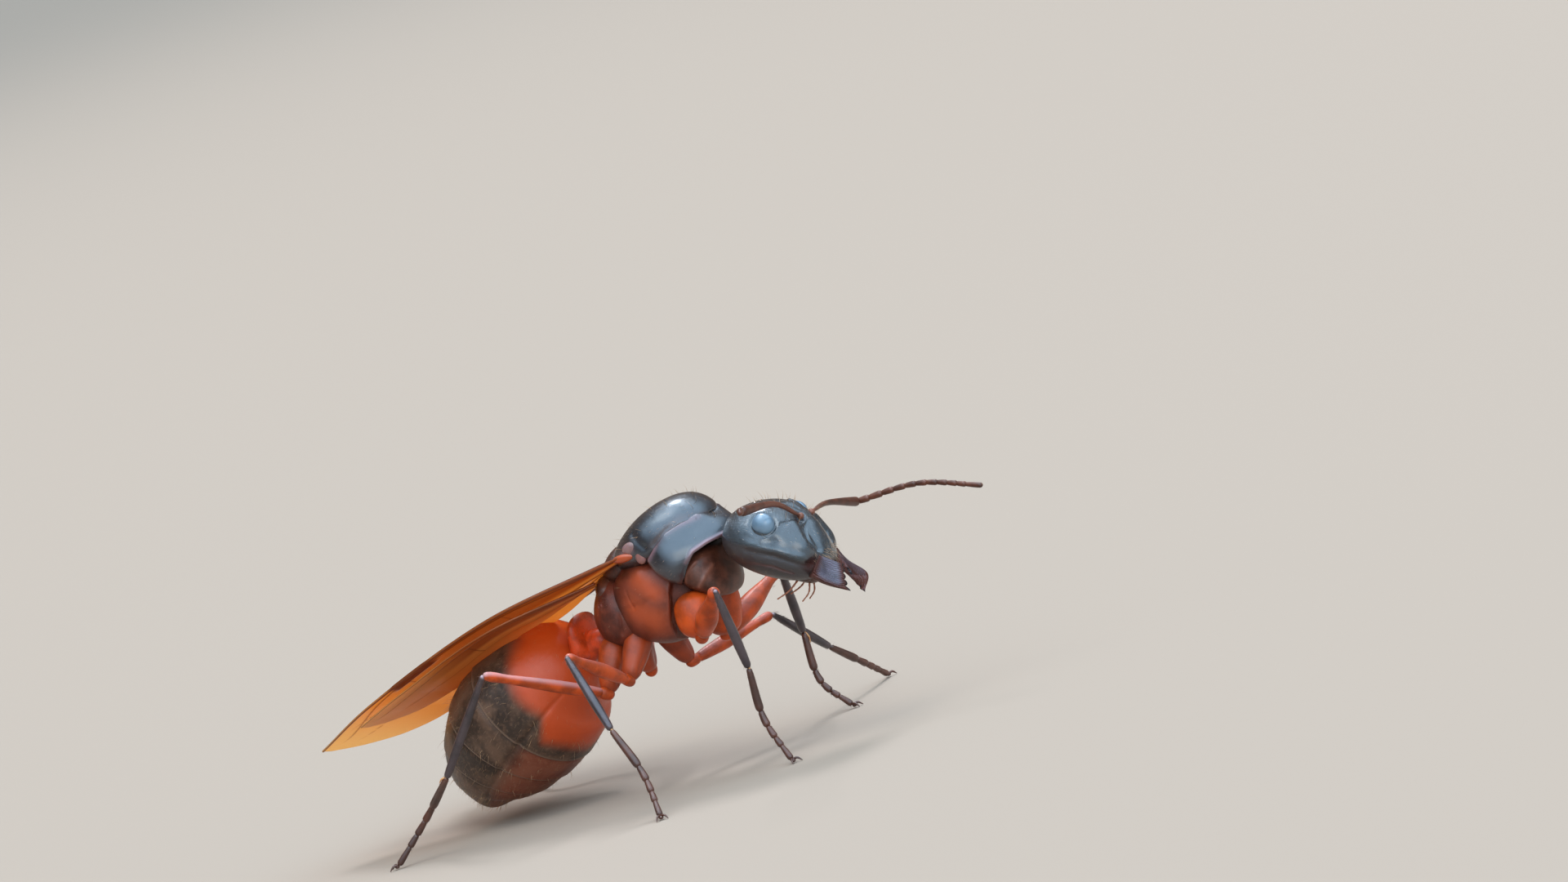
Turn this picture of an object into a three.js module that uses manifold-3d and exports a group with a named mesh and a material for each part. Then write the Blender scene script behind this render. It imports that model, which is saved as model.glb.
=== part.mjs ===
// A winged queen of the carpenter ant, standing, at life size.
// Millimetres. +X is the way she faces, +Y her left, +Z up; the floor is Z = 0.
import * as THREE from "three";
import { mergeVertices } from "three/addons/utils/BufferGeometryUtils.js";
import Module from "manifold-3d";

const wasm = await Module();
wasm.setup();

// ---- Driving dimensions ----
const GAP = 0.12; // clear space between two pieces that meet
const SLENDER = 0.25; // radius of feelers, shins and feet
const WAIST = 0.84; // how far a feeler or foot narrows at its joints
const CENTRE = [-0.91, 1.159]; // middle of the whole animal's outline on the floor

const THORAX = { at: [1.05, 0, 5.74], pitch: 10 };
const HEAD = { at: [5.2, 0.16, 5.8], yaw: 6.3, pitch: -31.9, roll: -5.6 };
const HEAD_LENGTH = 3.15;

// Body pieces in their own frame: back and front end on X, height of the middle line, sides and rings,
// then stations [fraction from back to front, half width, rise, drop, lift of the middle line].
// Bumps are [x, y, z, reach, height], alike on both sides, and a negative height is a hollow.
const BODY = {
  mesoscutum: {
    from: -0.8, to: 2.6, height: 0.85, blunt: 0.62, square: 2.3, sides: 24, rings: 12,
    stations: [
      [0, 1.25, 0.65, 0.5, 0], [0.45, 1.5, 1, 0.5, 0], [0.8, 1.35, 1.1, 0.5, 0], [1, 1.1, 0.9, 0.5, 0],
    ],
  },
  scutellum: {
    from: -1.5, to: -0.3, height: 0.72, blunt: 0.6, square: 2.2, sides: 20, rings: 8,
    stations: [[0, 0.7, 0.3, 0.4, 0], [0.6, 0.85, 0.6, 0.5, 0], [1, 0.85, 0.7, 0.5, 0]],
  },
  pronotum: {
    from: 0.1, to: 2.95, height: 0.2, blunt: 0.55, square: 2.2, sides: 20, rings: 11,
    stations: [
      [0, 1.5, 0.9, 0.5, 0.35], [0.45, 1.72, 1.2, 0.95, 0],
      [0.7, 1.45, 1.05, 0.5, 0], [1, 1, 0.75, 0.15, 0.1],
    ],
  },
  mesopleura: {
    from: -1.45, to: 1.75, height: -0.5, blunt: 0.55, square: 2.7, sides: 20, rings: 8,
    stations: [[0, 1.3, 1.25, 1.1, 0], [0.5, 1.5, 1.35, 1.42, 0], [1, 1.1, 0.9, 0.9, 0]],
  },
  propodeum: {
    from: -2.35, to: -0.7, height: -0.5, blunt: 0.5, square: 2.3, sides: 20, rings: 8,
    stations: [[0, 0.95, 0.8, 0.8, -0.1], [0.6, 1.25, 1.25, 1, 0], [1, 1.3, 1.3, 1.1, 0]],
  },
  propleura: {
    from: 1.1, to: 2.98, height: -0.3, blunt: 0.42, square: 2.6, sides: 20, rings: 7,
    stations: [
      [0, 1.15, 0.6, 0.45, 0], [0.5, 1.2, 0.6, 0.85, 0],
      [0.8, 1.05, 0.55, 1.12, 0], [1, 0.8, 0.5, 1.05, 0],
    ],
  },
  head: {
    from: -HEAD_LENGTH / 2, to: HEAD_LENGTH / 2, height: 0, blunt: 0.4, square: 2.35, sides: 28, rings: 16,
    stations: [
      [0, 1.3, 0.75, 0.85, 0], [0.18, 1.52, 1, 0.95, 0], [0.42, 1.58, 1.12, 0.98, 0],
      [0.66, 1.46, 0.95, 0.95, 0], [0.86, 1.28, 0.72, 0.72, -0.12], [1, 1.1, 0.5, 0.4, -0.2],
    ],
    bumps: [
      [1.15, 0, 0.5, 0.42, 0.1], [0.95, 0.62, 0.5, 0.2, -0.07],
      [0.9, 1, 0.35, 0.3, 0.05], [0.5, 0, 1, 0.35, 0.1],
    ],
  },
};

const EYE = { at: [-0.22, 1.33, 0.62], radii: [0.34, 0.25, 0.33] };
// Jaws: flat toothed blades in the head's frame. The outer corner of the base, the blade's sizes, its teeth
// and how deep they are cut. For each jaw the way it points and the way from its outer to its inner edge,
// both as on her left.
const JAW = { at: [1.22, 1.02, -0.42], length: 1.45, width: 0.62, thick: 0.5, taper: 0.35 };
const TEETH = { count: 5, notch: 0.12 };
const JAW_TURNS = {
  right: { along: [0.95, -0.45, -0.25], across: [-0.2, -0.5, 0.6] },
  left: { along: [1.09, -0.25, -0.22], across: [-0.2, -0.2, 0.65] },
};
// Mouthparts under the jaws, in the head's frame: a rounded base, and feelers that hang from it.
const MOUTH = { at: [0.97, 0, -0.78], radii: [0.42, 0.5, 0.3] };
const PALPS = [
  [[0.85, 0.34, -0.8], [0.72, 0.46, -1.15], [0.44, 0.52, -1.5]],
  [[1.12, 0.15, -0.8], [1.2, 0.22, -1.1], [1.1, 0.28, -1.4]],
];
const PALP_RADII = [0.16, 0.12, 0.07];
const SOCKET = [0.5, 0.42, 1.14]; // where a feeler starts, in the head's frame

const PETIOLE = {
  path: [[-1.1, 0, 4.4], [-1.9, 0, 4.3], [-2.5, 0, 3.95]],
  radii: [0.42, 0.42, 0.5],
  scale: [[-2.1, 0, 3.95], [-2, 0, 5.3]], // foot and top of the upright scale
  width: 0.75, // half width of the scale
  thick: [0.38, 0.28], // half its thickness at the foot and at the top
};
const GASTER_PATH = [
  [-2.15, 0, 3.95], [-3.1, 0, 3.75], [-4, 0, 3.3], [-5.1, 0, 2.65],
  [-5.95, 0, 1.95], [-6.6, 0, 1.25], [-7.05, 0, 0.5],
];
const GASTER_STATIONS = [
  [0, 2.4, 2.3, 2.3, 0], [0.15, 2.4, 2.3, 2.3, 0], [0.31, 2.25, 2.1, 2.1, 0], [0.5, 2.2, 2.04, 2.04, 0],
  [0.68, 2.15, 2.05, 2, 0], [0.86, 2.1, 2.05, 1.9, 0], [1, 1.5, 1.4, 1.4, 0],
];
const GASTER_CUTS = [0, 0.4, 0.6, 0.76, 0.89, 1]; // where one plate ends and the next begins
const GASTER_SIDES = 24;
const GASTER_FLARE = 0.035; // how much wider a plate is at its rear edge

// Leg joints: hip, knee, end of shin, end of the long foot joint, toe. A toe's middle is just above the
// floor, so that the floor cuts a small flat under it.
const SOLE = 0.02;
const LEGS = {
  fore_right: [
    [2.45, -1.1, 3.9], [4.31, -2.57, 5.32], [4.24, -2.08, 2.88], [4.15, -2.02, 1.37], [4.79, -2.32, SOLE],
  ],
  mid_right: [
    [-0.08, -1.48, 3.26], [0.04, -4.31, 4.76], [1.28, -5.19, 2.58], [2.13, -5.65, 1.24], [2.78, -6.48, SOLE],
  ],
  hind_right: [
    [-1.07, -1.23, 3.01], [-2.61, -4.66, 4.88], [-5.05, -4.47, 2.28], [-6.69, -3.74, 1.17],
    [-7.83, -4.16, SOLE],
  ],
  fore_left: [
    [2.02, 0.8, 3.55], [2.68, 3.6, 4.66], [2.09, 4.63, 2.52], [2.16, 4.58, 1.02], [2.84, 4.72, SOLE],
  ],
  mid_left: [
    [0.42, 1.11, 3], [1.63, 4.06, 3.34], [1.84, 6.14, 1.7], [1.87, 7.54, 0.83], [1.75, 8.83, SOLE],
  ],
  hind_left: [
    [-1.07, 1.23, 3.01], [-2.75, 4.6, 4.75], [-5.3, 4.25, 2.2], [-6.9, 3.6, 1.1], [-8, 4.1, SOLE],
  ],
};
const COXA_TOPS = { fore: [2.2, 0.7, 5.2], mid: [0.15, 0.75, 4.4], hind: [-0.8, 0.7, 4.25] };
const COXA_RADII = { fore: [0.46, 0.5, 0.4], mid: [0.44, 0.42, 0.3], hind: [0.44, 0.4, 0.3] };
const FOOT_JOINTS = [0.44, 0.6, 0.73, 0.84]; // fractions of the foot's length
const FEMUR_RADII = { fore: [0.3, 0.42, 0.26], mid: [0.25, 0.28, 0.25], hind: [0.25, 0.26, 0.25] };
const FOOT_RADII = [0.25, 0.22, 0.2];

// Feelers: from the socket along the long first joint to its elbow, then the whip.
const FEELERS = {
  right: { elbow: [6.22, -3, 7.3], whip: [[7.3, -4.72, 7.5], [8.42, -6.47, 7.62]] },
  left: { elbow: [5.87, 3.6, 5.93], whip: [[7.9, 3.7, 5.98], [10.08, 3.4, 5.5]] },
};
const SCAPE = { bend: 0.36, lift: 0.3, radii: [0.25, 0.22, 0.26] }; // where it arches, and how high
const WHIP = { joints: 9, radii: [0.24, 0.23, 0.13] };

// Wings: leading edge from hinge to tip, the slope of its chord as stations [fraction of the length, degrees
// of fall to the trailing edge], stations [fraction of the length, chord], and veins as stations [fraction of
// the length, fraction of the chord], each with the fraction of the length where it ends. A cross vein joins
// two of them. Above and below are how far the two faces lie from the leading edge's level.
const SLOPES = {
  right: [[0, 9], [0.1, 20], [0.2, 25], [0.35, 21], [1, 18]],
  left: [[0, 2], [0.5, 3], [1, 4]],
};
const FOREWING = {
  chords: [
    [0, 0.6], [0.06, 1.15], [0.15, 1.8], [0.3, 2.6], [0.55, 3.35],
    [0.75, 3.1], [0.9, 2.2], [0.97, 1.2], [1, 0.3],
  ],
  veins: [
    { line: [[0, 0.3], [0.3, 0.1], [0.7, 0.07], [1, 0.3]], ends: 1 },
    { line: [[0, 0.5], [0.3, 0.42], [0.6, 0.36], [1, 0.5]], ends: 0.96 },
    { line: [[0, 0.75], [0.3, 0.74], [0.6, 0.72], [1, 0.7]], ends: 0.6 },
  ],
  cross: [[0.24, 1], [0.31, 0], [0.62, 0], [0.84, 0]],
  stigma: [0.54, 0.66],
};
const HINDWING = {
  chords: [[0, 0.5], [0.12, 0.9], [0.35, 1.6], [0.6, 1.9], [0.85, 1.4], [0.96, 0.75], [1, 0.25]],
  veins: [
    { line: [[0, 0.3], [0.4, 0.14], [1, 0.3]], ends: 1 },
    { line: [[0, 0.6], [0.4, 0.56], [1, 0.6]], ends: 0.9 },
  ],
  cross: [[0.45, 0]],
  stigma: [0, 0],
};
const WINGS = {
  forewing_right: {
    plan: FOREWING, side: -1, slope: SLOPES.right, above: 0.38, below: 0.07,
    edge: [[1, -1.5, 6.6], [-3.36, -2.35, 5.95], [-8.78, -1.7, 4.3], [-11.9, -0.35, 3.15]],
  },
  forewing_left: {
    plan: FOREWING, side: 1, slope: SLOPES.left, above: 0.38, below: 0.07,
    edge: [[1, 1.5, 6.55], [-3.2, 3.2, 5.65], [-8.2, 5.15, 4.25], [-11, 5.6, 3.25]],
  },
  hindwing_right: {
    plan: HINDWING, side: -1, slope: SLOPES.right, above: -0.22, below: 0.67,
    edge: [[-0.3, -1.3, 6.3], [-3.6, -2.4, 5.85], [-7.2, -2.1, 4.75], [-9.6, -1.3, 3.95]],
  },
  hindwing_left: {
    plan: HINDWING, side: 1, slope: SLOPES.left, above: -0.24, below: 0.69,
    edge: [[-0.3, 1.4, 6.35], [-3.5, 3.1, 5.5], [-7, 4.35, 4.55], [-9.3, 4.9, 3.85]],
  },
};
// Cap over a forewing's hinge, placed from the hinge.
const TEGULA = { at: [0.22, -0.1, 0.1], radii: [0.45, 0.3, 0.34] };
const STEPS = 8; // rings along a wing, apart from those at its cross veins
const VEIN = { rise: 0.09, reach: 0.05 }; // height of a vein, and its half width in fractions of the chord
const CROSS_REACH = 0.012; // half width of a cross vein, in fractions of the length
const WING_TIP = { from: 0.85, thinned: 0.45, last: 0.985 }; // where it thins, by how much, and its last ring

const MATERIALS = {
  black: { color: 0x1d242b, roughness: 0.38 },
  eye: { color: 0x3c5266, roughness: 0.22 },
  brown: { color: 0x4a2a20, roughness: 0.4 },
  rust: { color: 0x8a3018, roughness: 0.38 },
  orange: { color: 0xc8481a, roughness: 0.35 },
  shin: { color: 0x30282c, roughness: 0.4 },
  foot: { color: 0x4b2c22, roughness: 0.5 },
  gaster: { color: 0x53402f, roughness: 0.42 },
  wing: { color: 0xb9772e, roughness: 0.3 },
};

// ---- Shapes ----
const vector = (p) => new THREE.Vector3(...p);
const curve = (points) => new THREE.CatmullRomCurve3(points.map(vector), false, "centripetal");
const radians = THREE.MathUtils.degToRad;

// Value of each column of the stations at a fraction, along smooth curves through the stations.
function between(stations, fraction) {
  const last = stations.length - 1;
  const slope = (i, c) => {
    const a = stations[Math.max(i - 1, 0)];
    const b = stations[Math.min(i + 1, last)];
    return (b[c] - a[c]) / (b[0] - a[0]);
  };
  let i = 0;
  while (i < last - 1 && fraction > stations[i + 1][0]) i++;
  const step = stations[i + 1][0] - stations[i][0];
  const t = (fraction - stations[i][0]) / step;
  const [h0, h1] = [1 + t * t * (2 * t - 3), t * t * (3 - 2 * t)];
  const [g0, g1] = [t * (1 - t) * (1 - t), t * t * (t - 1)];
  return stations[i]
    .slice(1)
    .map((v, k) => {
      const lean = g0 * slope(i, k + 1) + g1 * slope(i + 1, k + 1);
      return h0 * v + h1 * stations[i + 1][k + 1] + step * lean;
    });
}

// A closed surface through rings of points, shut by a fan to one point at each end.
function skin(rings, start, end) {
  const sides = rings[0].length;
  const points = [...rings.flat(), start, end];
  const at = (i, j) => i * sides + (j % sides);
  const faces = [];
  for (let j = 0; j < sides; j++) {
    faces.push(points.length - 2, at(0, j + 1), at(0, j));
    faces.push(points.length - 1, at(rings.length - 1, j), at(rings.length - 1, j + 1));
    for (let i = 0; i + 1 < rings.length; i++) {
      faces.push(at(i, j), at(i, j + 1), at(i + 1, j));
      faces.push(at(i, j + 1), at(i + 1, j + 1), at(i + 1, j));
    }
  }
  const geometry = new THREE.BufferGeometry().setFromPoints(points);
  geometry.setIndex(faces);
  return geometry;
}

// A ring across a path: an oval that may be squarer than an ellipse and deeper below than above.
function ring(centre, along, upright, [wide, rise, drop], square, sides) {
  const side = upright.clone().cross(along).normalize();
  const up = along.clone().cross(side).normalize();
  return Array.from({ length: sides }, (_, j) => {
    const angle = (2 * Math.PI * j) / sides;
    const [c, s] = [Math.cos(angle), Math.sin(angle)];
    const across = wide * Math.sign(c) * Math.abs(c) ** (2 / square);
    const lift = (s > 0 ? rise : drop) * Math.sign(s) * Math.abs(s) ** (2 / square);
    return centre.clone().addScaledVector(side, across).addScaledVector(up, lift);
  });
}

const UP = new THREE.Vector3(0, 0, 1);

// A rounded body piece along X. Each ring is the stations' oval times the sine of its place, to the power
// blunt. A bump pushes the points near it away from the middle line, by a bell of its reach.
function egg(piece, grow = 0) {
  const { from, to, height, blunt, square, sides, rings: count, stations, bumps = [] } = piece;
  const pushed = (p, centre) => {
    const push = bumps.reduce((sum, [x, y, z, reach, tall]) => {
      const away = new THREE.Vector3(p.x - x, Math.abs(p.y) - y, p.z - z).length() / reach;
      return sum + tall * Math.exp(-away * away);
    }, 0);
    return p.clone().addScaledVector(p.clone().sub(centre).normalize(), push);
  };
  const rings = [];
  const length = to - from + 2 * grow;
  const line = (f) => new THREE.Vector3(from - grow + length * f, 0, height + between(stations, f)[3]);
  for (let k = 1; k < count; k++) {
    const angle = (Math.PI * k) / count;
    const f = (1 - Math.cos(angle)) / 2;
    const size = between(stations, f).slice(0, 3).map((v) => (v + grow) * Math.sin(angle) ** blunt);
    const plain = ring(line(f), new THREE.Vector3(1, 0, 0), UP, size, square, sides);
    rings.push(plain.map((p) => pushed(p, line(f))));
  }
  return skin(rings, line(0), line(1));
}

// A limb's domed end: how far round the dome its last ring lies, how deep the dome's middle is sunk and how
// far its tip stands out, both in radii.
const DOME = { turn: radians(50), sunk: 0.6, tip: 0.4 };

// A round limb through points, with radii at even steps along it and domed ends. Where it has joints, at
// fractions of its length, it narrows to a waist at each.
function limb(points, radii, { sides = 8, steps = 6, grow = 0, joints = [] } = {}) {
  const path = curve(points);
  const length = path.getLength();
  const chord = vector(points[points.length - 1]).sub(vector(points[0]));
  const upright = new THREE.Vector3(-chord.y, chord.x, 0.01).normalize();
  const stations = radii.map((r, i) => [i / (radii.length - 1), r + grow]);
  const radius = (f) => between(stations, f)[0];
  const waist = (f) => (joints.includes(f) ? WAIST : 1);
  const places = joints.flatMap((f) => [f - 0.3 / steps, f, f + 0.3 / steps]);
  const rings = [];
  const dome = (f, outward, turn) => {
    const r = radius(f);
    const along = path.getTangentAt(f);
    const centre = path.getPointAt(f).addScaledVector(along, outward * r * (Math.sin(turn) - DOME.sunk));
    const size = r * Math.cos(turn);
    rings.push(ring(centre, along, upright, [size, size, size], 2, sides));
  };
  dome(0, -1, DOME.turn);
  const even = joints.length ? [0, ...places, 1] : Array.from({ length: steps + 1 }, (_, k) => k / steps);
  for (const place of even) {
    const [first, last] = [(DOME.sunk * radius(0)) / length, 1 - (DOME.sunk * radius(1)) / length];
    const f = THREE.MathUtils.clamp(place, first, last);
    const r = radius(f) * waist(f);
    rings.push(ring(path.getPointAt(f), path.getTangentAt(f), upright, [r, r, r], 2, sides));
  }
  dome(1, 1, DOME.turn);
  const tip = (f, outward) => {
    const reach = outward * (DOME.tip * radius(f) + grow);
    return path.getPointAt(f).addScaledVector(path.getTangentAt(f), reach);
  };
  return skin(rings, tip(0, -1), tip(1, 1));
}

// ---- Joining and cutting ----
function solid(geometry, matrix) {
  const bare = new THREE.BufferGeometry().setAttribute("position", geometry.getAttribute("position").clone());
  bare.setIndex(geometry.index ?? [...Array(bare.attributes.position.count).keys()]);
  if (matrix) bare.applyMatrix4(matrix);
  const merged = mergeVertices(bare, 1e-4);
  const triVerts = new Uint32Array(merged.index.array);
  const vertProperties = merged.attributes.position.array;
  const make = () => new wasm.Manifold(new wasm.Mesh({ numProp: 3, vertProperties, triVerts }));
  const made = make();
  if (made.volume() > 0) return made;
  for (let i = 0; i < triVerts.length; i += 3) {
    [triVerts[i], triVerts[i + 1]] = [triVerts[i + 1], triVerts[i]];
  }
  return make();
}

const largest = (shape) => shape.decompose().sort((a, b) => b.volume() - a.volume())[0];
const fuse = (...shapes) => largest(shapes.reduce((whole, shape) => whole.add(shape)));
const carve = (shape, ...tools) => largest(tools.reduce((whole, tool) => whole.subtract(tool), shape));

// A node: a named mesh whose own origin is its pivot, hung in its group.
function node(group, name, shape, pivot, look) {
  const { vertProperties, triVerts } = shape.getMesh();
  const geometry = new THREE.BufferGeometry();
  geometry.setAttribute("position", new THREE.BufferAttribute(vertProperties, 3));
  geometry.setIndex(new THREE.BufferAttribute(triVerts, 1));
  geometry.translate(-pivot[0], -pivot[1], -pivot[2]);
  geometry.computeVertexNormals();
  const mesh = new THREE.Mesh(geometry, new THREE.MeshStandardMaterial(MATERIALS[look]));
  mesh.name = name;
  mesh.position.copy(vector(pivot)).sub(group.position);
  group.add(mesh);
}

const ant = new THREE.Group();

function groupAt(pivot) {
  const group = new THREE.Group();
  group.position.copy(vector(pivot));
  ant.add(group);
  return group;
}

function frame({ at, yaw = 0, pitch = 0, roll = 0 }) {
  const turn = new THREE.Euler(radians(roll), radians(-pitch), radians(yaw), "ZYX");
  return new THREE.Matrix4().makeRotationFromEuler(turn).setPosition(...at);
}
const thoraxFrame = frame(THORAX);
const headFrame = frame(HEAD);
const mirrored = ([x, y, z], side) => [x, side * y, z];
const sides = { right: -1, left: 1 };
const inFrame = (matrix, p) => vector(p).applyMatrix4(matrix).toArray();

// ---- Thorax ----
const thorax = (name, grow) => solid(egg(BODY[name], grow), thoraxFrame);
const THORAX_ORDER = ["mesoscutum", "pronotum", "scutellum", "mesopleura", "propodeum", "propleura"];
const THORAX_LOOKS = ["black", "black", "brown", "rust", "rust", "brown"];
const thoraxGroup = groupAt(THORAX.at);
THORAX_ORDER.forEach((name, i) => {
  const above = THORAX_ORDER.slice(0, i).map((other) => thorax(other, GAP));
  node(thoraxGroup, name, carve(thorax(name), ...above), THORAX.at, THORAX_LOOKS[i]);
});
const thoraxGrown = THORAX_ORDER.map((name) => thorax(name, GAP)).reduce((a, b) => a.add(b));

// ---- Head ----
function ball(at, radii, matrix, grow = 0) {
  const shape = new THREE.SphereGeometry(1, 12, 7);
  shape.scale(...radii.map((r) => r + grow)).translate(...at);
  return solid(shape, matrix);
}

// A jaw's outline lies along X and across Y: a bowed outer edge to the tip, a slanted row of teeth back to
// the inner corner, and a bowed inner edge. It is given a thickness that tapers away from the base.
function mandibleShape(name, grow = 0) {
  const { length, width, thick, taper } = JAW;
  const outline = new THREE.Shape();
  outline.moveTo(0, 0);
  outline.quadraticCurveTo(0.55 * length, -0.32 * width, length, 0.35 * width);
  for (let i = 0; i < TEETH.count; i++) {
    const valley = (i + 0.5) / TEETH.count;
    const point = valley + 0.5 / TEETH.count;
    outline.lineTo(length * (1 - 0.2 * valley) - TEETH.notch, width * (0.4 + valley));
    outline.lineTo(length * (1 - 0.2 * point), width * (0.4 + point));
  }
  outline.quadraticCurveTo(0.4 * length, width, 0, width);
  const blade = new THREE.ExtrudeGeometry(outline, { depth: thick, bevelEnabled: false, curveSegments: 6 });
  blade.translate(0, 0, -thick / 2);
  const place = blade.attributes.position;
  for (let i = 0; i < place.count; i++) {
    place.setZ(i, place.getZ(i) * (1 - taper * place.getX(i)));
  }
  const side = sides[name];
  const along = vector(mirrored(JAW_TURNS[name].along, side)).normalize();
  const across = vector(mirrored(JAW_TURNS[name].across, side));
  across.addScaledVector(along, -across.dot(along)).normalize();
  const through = along.clone().cross(across);
  const stand = new THREE.Matrix4().makeBasis(along, across, through).setPosition(...mirrored(JAW.at, side));
  if (grow) {
    blade.computeBoundingBox();
    const middle = blade.boundingBox.getCenter(new THREE.Vector3());
    const size = blade.boundingBox.getSize(new THREE.Vector3());
    const [sx, sy, sz] = size.toArray().map((v) => (v + 2 * grow) / v);
    blade.translate(...middle.clone().negate()).scale(sx, sy, sz).translate(...middle);
  }
  return solid(blade, headFrame.clone().multiply(stand));
}

const headGroup = groupAt(HEAD.at);
let head = solid(egg(BODY.head), headFrame);
for (const side of Object.values(sides)) {
  const at = mirrored(EYE.at, side);
  head = head.subtract(ball(at, EYE.radii, headFrame, GAP));
}
const grownMandibles = [mandibleShape("right", GAP), mandibleShape("left", GAP)];
for (const [name, side] of Object.entries(sides)) {
  const mandible = carve(mandibleShape(name), solid(egg(BODY.head, GAP), headFrame));
  const eye = mirrored(EYE.at, side);
  node(headGroup, `eye_${name}`, ball(eye, EYE.radii, headFrame), inFrame(headFrame, eye), "eye");
  node(headGroup, `mandible_${name}`, mandible, HEAD.at, "brown");
}
node(headGroup, "head", carve(head, thoraxGrown), HEAD.at, "black");

const inHead = (p, side) => inFrame(headFrame, mirrored(p, side));
const palps = Object.values(sides).flatMap((side) =>
  PALPS.map((path) => solid(limb(path.map((p) => inHead(p, side)), PALP_RADII, { sides: 5, steps: 3 }))),
);
const mouth = fuse(ball(MOUTH.at, MOUTH.radii, headFrame), ...palps);
const grownHead = solid(egg(BODY.head, GAP), headFrame);
node(headGroup, "mouthparts", carve(mouth, grownHead, ...grownMandibles), inHead(MOUTH.at, 1), "foot");

const feelerOptions = { sides: 7, steps: 5 };
const evenJoints = (count) => Array.from({ length: count }, (_, i) => (i + 1) / (count + 1));
for (const [name, side] of Object.entries(sides)) {
  const root = inFrame(headFrame, mirrored(SOCKET, side));
  const { elbow, whip } = FEELERS[name];
  const middle = vector(root).lerp(vector(elbow), SCAPE.bend).addScaledVector(UP, SCAPE.lift).toArray();
  const scape = (grow) => solid(limb([root, middle, elbow], SCAPE.radii, { ...feelerOptions, grow }));
  const beads = { sides: 6, steps: WHIP.joints + 1, joints: evenJoints(WHIP.joints) };
  const whipShape = solid(limb([elbow, ...whip], WHIP.radii, beads));
  node(headGroup, `scape_${name}`, carve(scape(0), grownHead), root, "brown");
  node(headGroup, `flagellum_${name}`, carve(whipShape, scape(GAP)), elbow, "brown");
}

// ---- Wings ----
// A wing is a grid: across the chord the lines follow the veins, with one line on each flank of a vein, and
// along the wing the rings crowd at the cross veins. Both faces carry the same lines, so they never cross.
function wingShape({ plan, side, slope, above, below, edge }, grow = 0) {
  const lead = curve(edge);
  const chordAt = (f) => between(plan.chords, f)[0];
  const marks = Array.from({ length: STEPS }, (_, i) => Math.sin((Math.PI / 2) * (i / STEPS)));
  const crossed = plan.cross.flatMap(([f]) => [f - CROSS_REACH, f, f + CROSS_REACH]);
  const near = (f) => plan.cross.some(([c]) => Math.abs(c - f) < 2 * CROSS_REACH && c !== f);
  const fractions = [...marks.filter((f) => !near(f)), ...crossed, WING_TIP.last, 1].sort((a, b) => a - b);
  const lines = (f) => [
    { v: 0, rise: VEIN.rise },
    ...plan.veins.flatMap(({ line, ends }) => {
      const v = between(line, f)[0];
      const narrow = f < 0.1 ? 0.6 : 1;
      return [-VEIN.reach, 0, VEIN.reach].map((d) => ({
        v: v + d * narrow,
        rise: d || f > ends ? 0 : VEIN.rise,
      }));
    }),
    { v: 1, rise: 0 },
  ];
  const rings = fractions.map((f) => {
    const along = lead.getTangentAt(f);
    const level = new THREE.Vector3().crossVectors(along, UP).multiplyScalar(-side).normalize();
    const down = new THREE.Vector3().crossVectors(level, along).multiplyScalar(side);
    const angle = radians(between(slope, f)[0]);
    const chord = level.clone().multiplyScalar(Math.cos(angle)).addScaledVector(down, Math.sin(angle));
    const normal = new THREE.Vector3().crossVectors(chord, along).multiplyScalar(-side);
    const start = lead.getPointAt(f);
    const thin = 1 - WING_TIP.thinned * THREE.MathUtils.smoothstep(f, WING_TIP.from, 1);
    const across = lines(f).map(({ v, rise }, i, all) => {
      const crossing = plan.cross.some(([c, vein]) => c === f && i >= 2 + 3 * vein && i <= 5 + 3 * vein);
      const stigma = i <= 2 && f >= plan.stigma[0] && f <= plan.stigma[1];
      const edgeGrow = i === 0 ? -grow : i === all.length - 1 ? grow : 0;
      const at = start.clone().addScaledVector(chord, v * chordAt(f) + edgeGrow);
      const ridge = crossing || stigma ? VEIN.rise : rise;
      return { at, top: above * thin + ridge + grow, bottom: -below * thin - ridge - grow };
    });
    const upper = across.map(({ at, top }) => at.clone().addScaledVector(normal, top));
    const lower = across.map(({ at, bottom }) => at.clone().addScaledVector(normal, bottom)).reverse();
    return [...upper, ...lower];
  });
  const middle = (points) => points.reduce((a, b) => a.clone().add(b)).divideScalar(points.length);
  return solid(skin(rings, middle(rings[0]), middle(rings[rings.length - 1])));
}

const wingsGrown = [];
for (const [name, wing] of Object.entries(WINGS)) {
  const hinge = wing.edge[0];
  const capAt = mirrored(TEGULA.at, -wing.side).map((v, i) => v + hinge[i]);
  const cap = (grow) => ball(capAt, TEGULA.radii, undefined, grow);
  const blade = (grow) => wingShape(wing, grow);
  const whole = (grow) => (wing.plan === FOREWING ? fuse(blade(grow), cap(grow)) : blade(grow));
  node(groupAt(hinge), name, carve(whole(0), thoraxGrown, ...wingsGrown), hinge, "wing");
  wingsGrown.push(whole(GAP));
}

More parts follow.
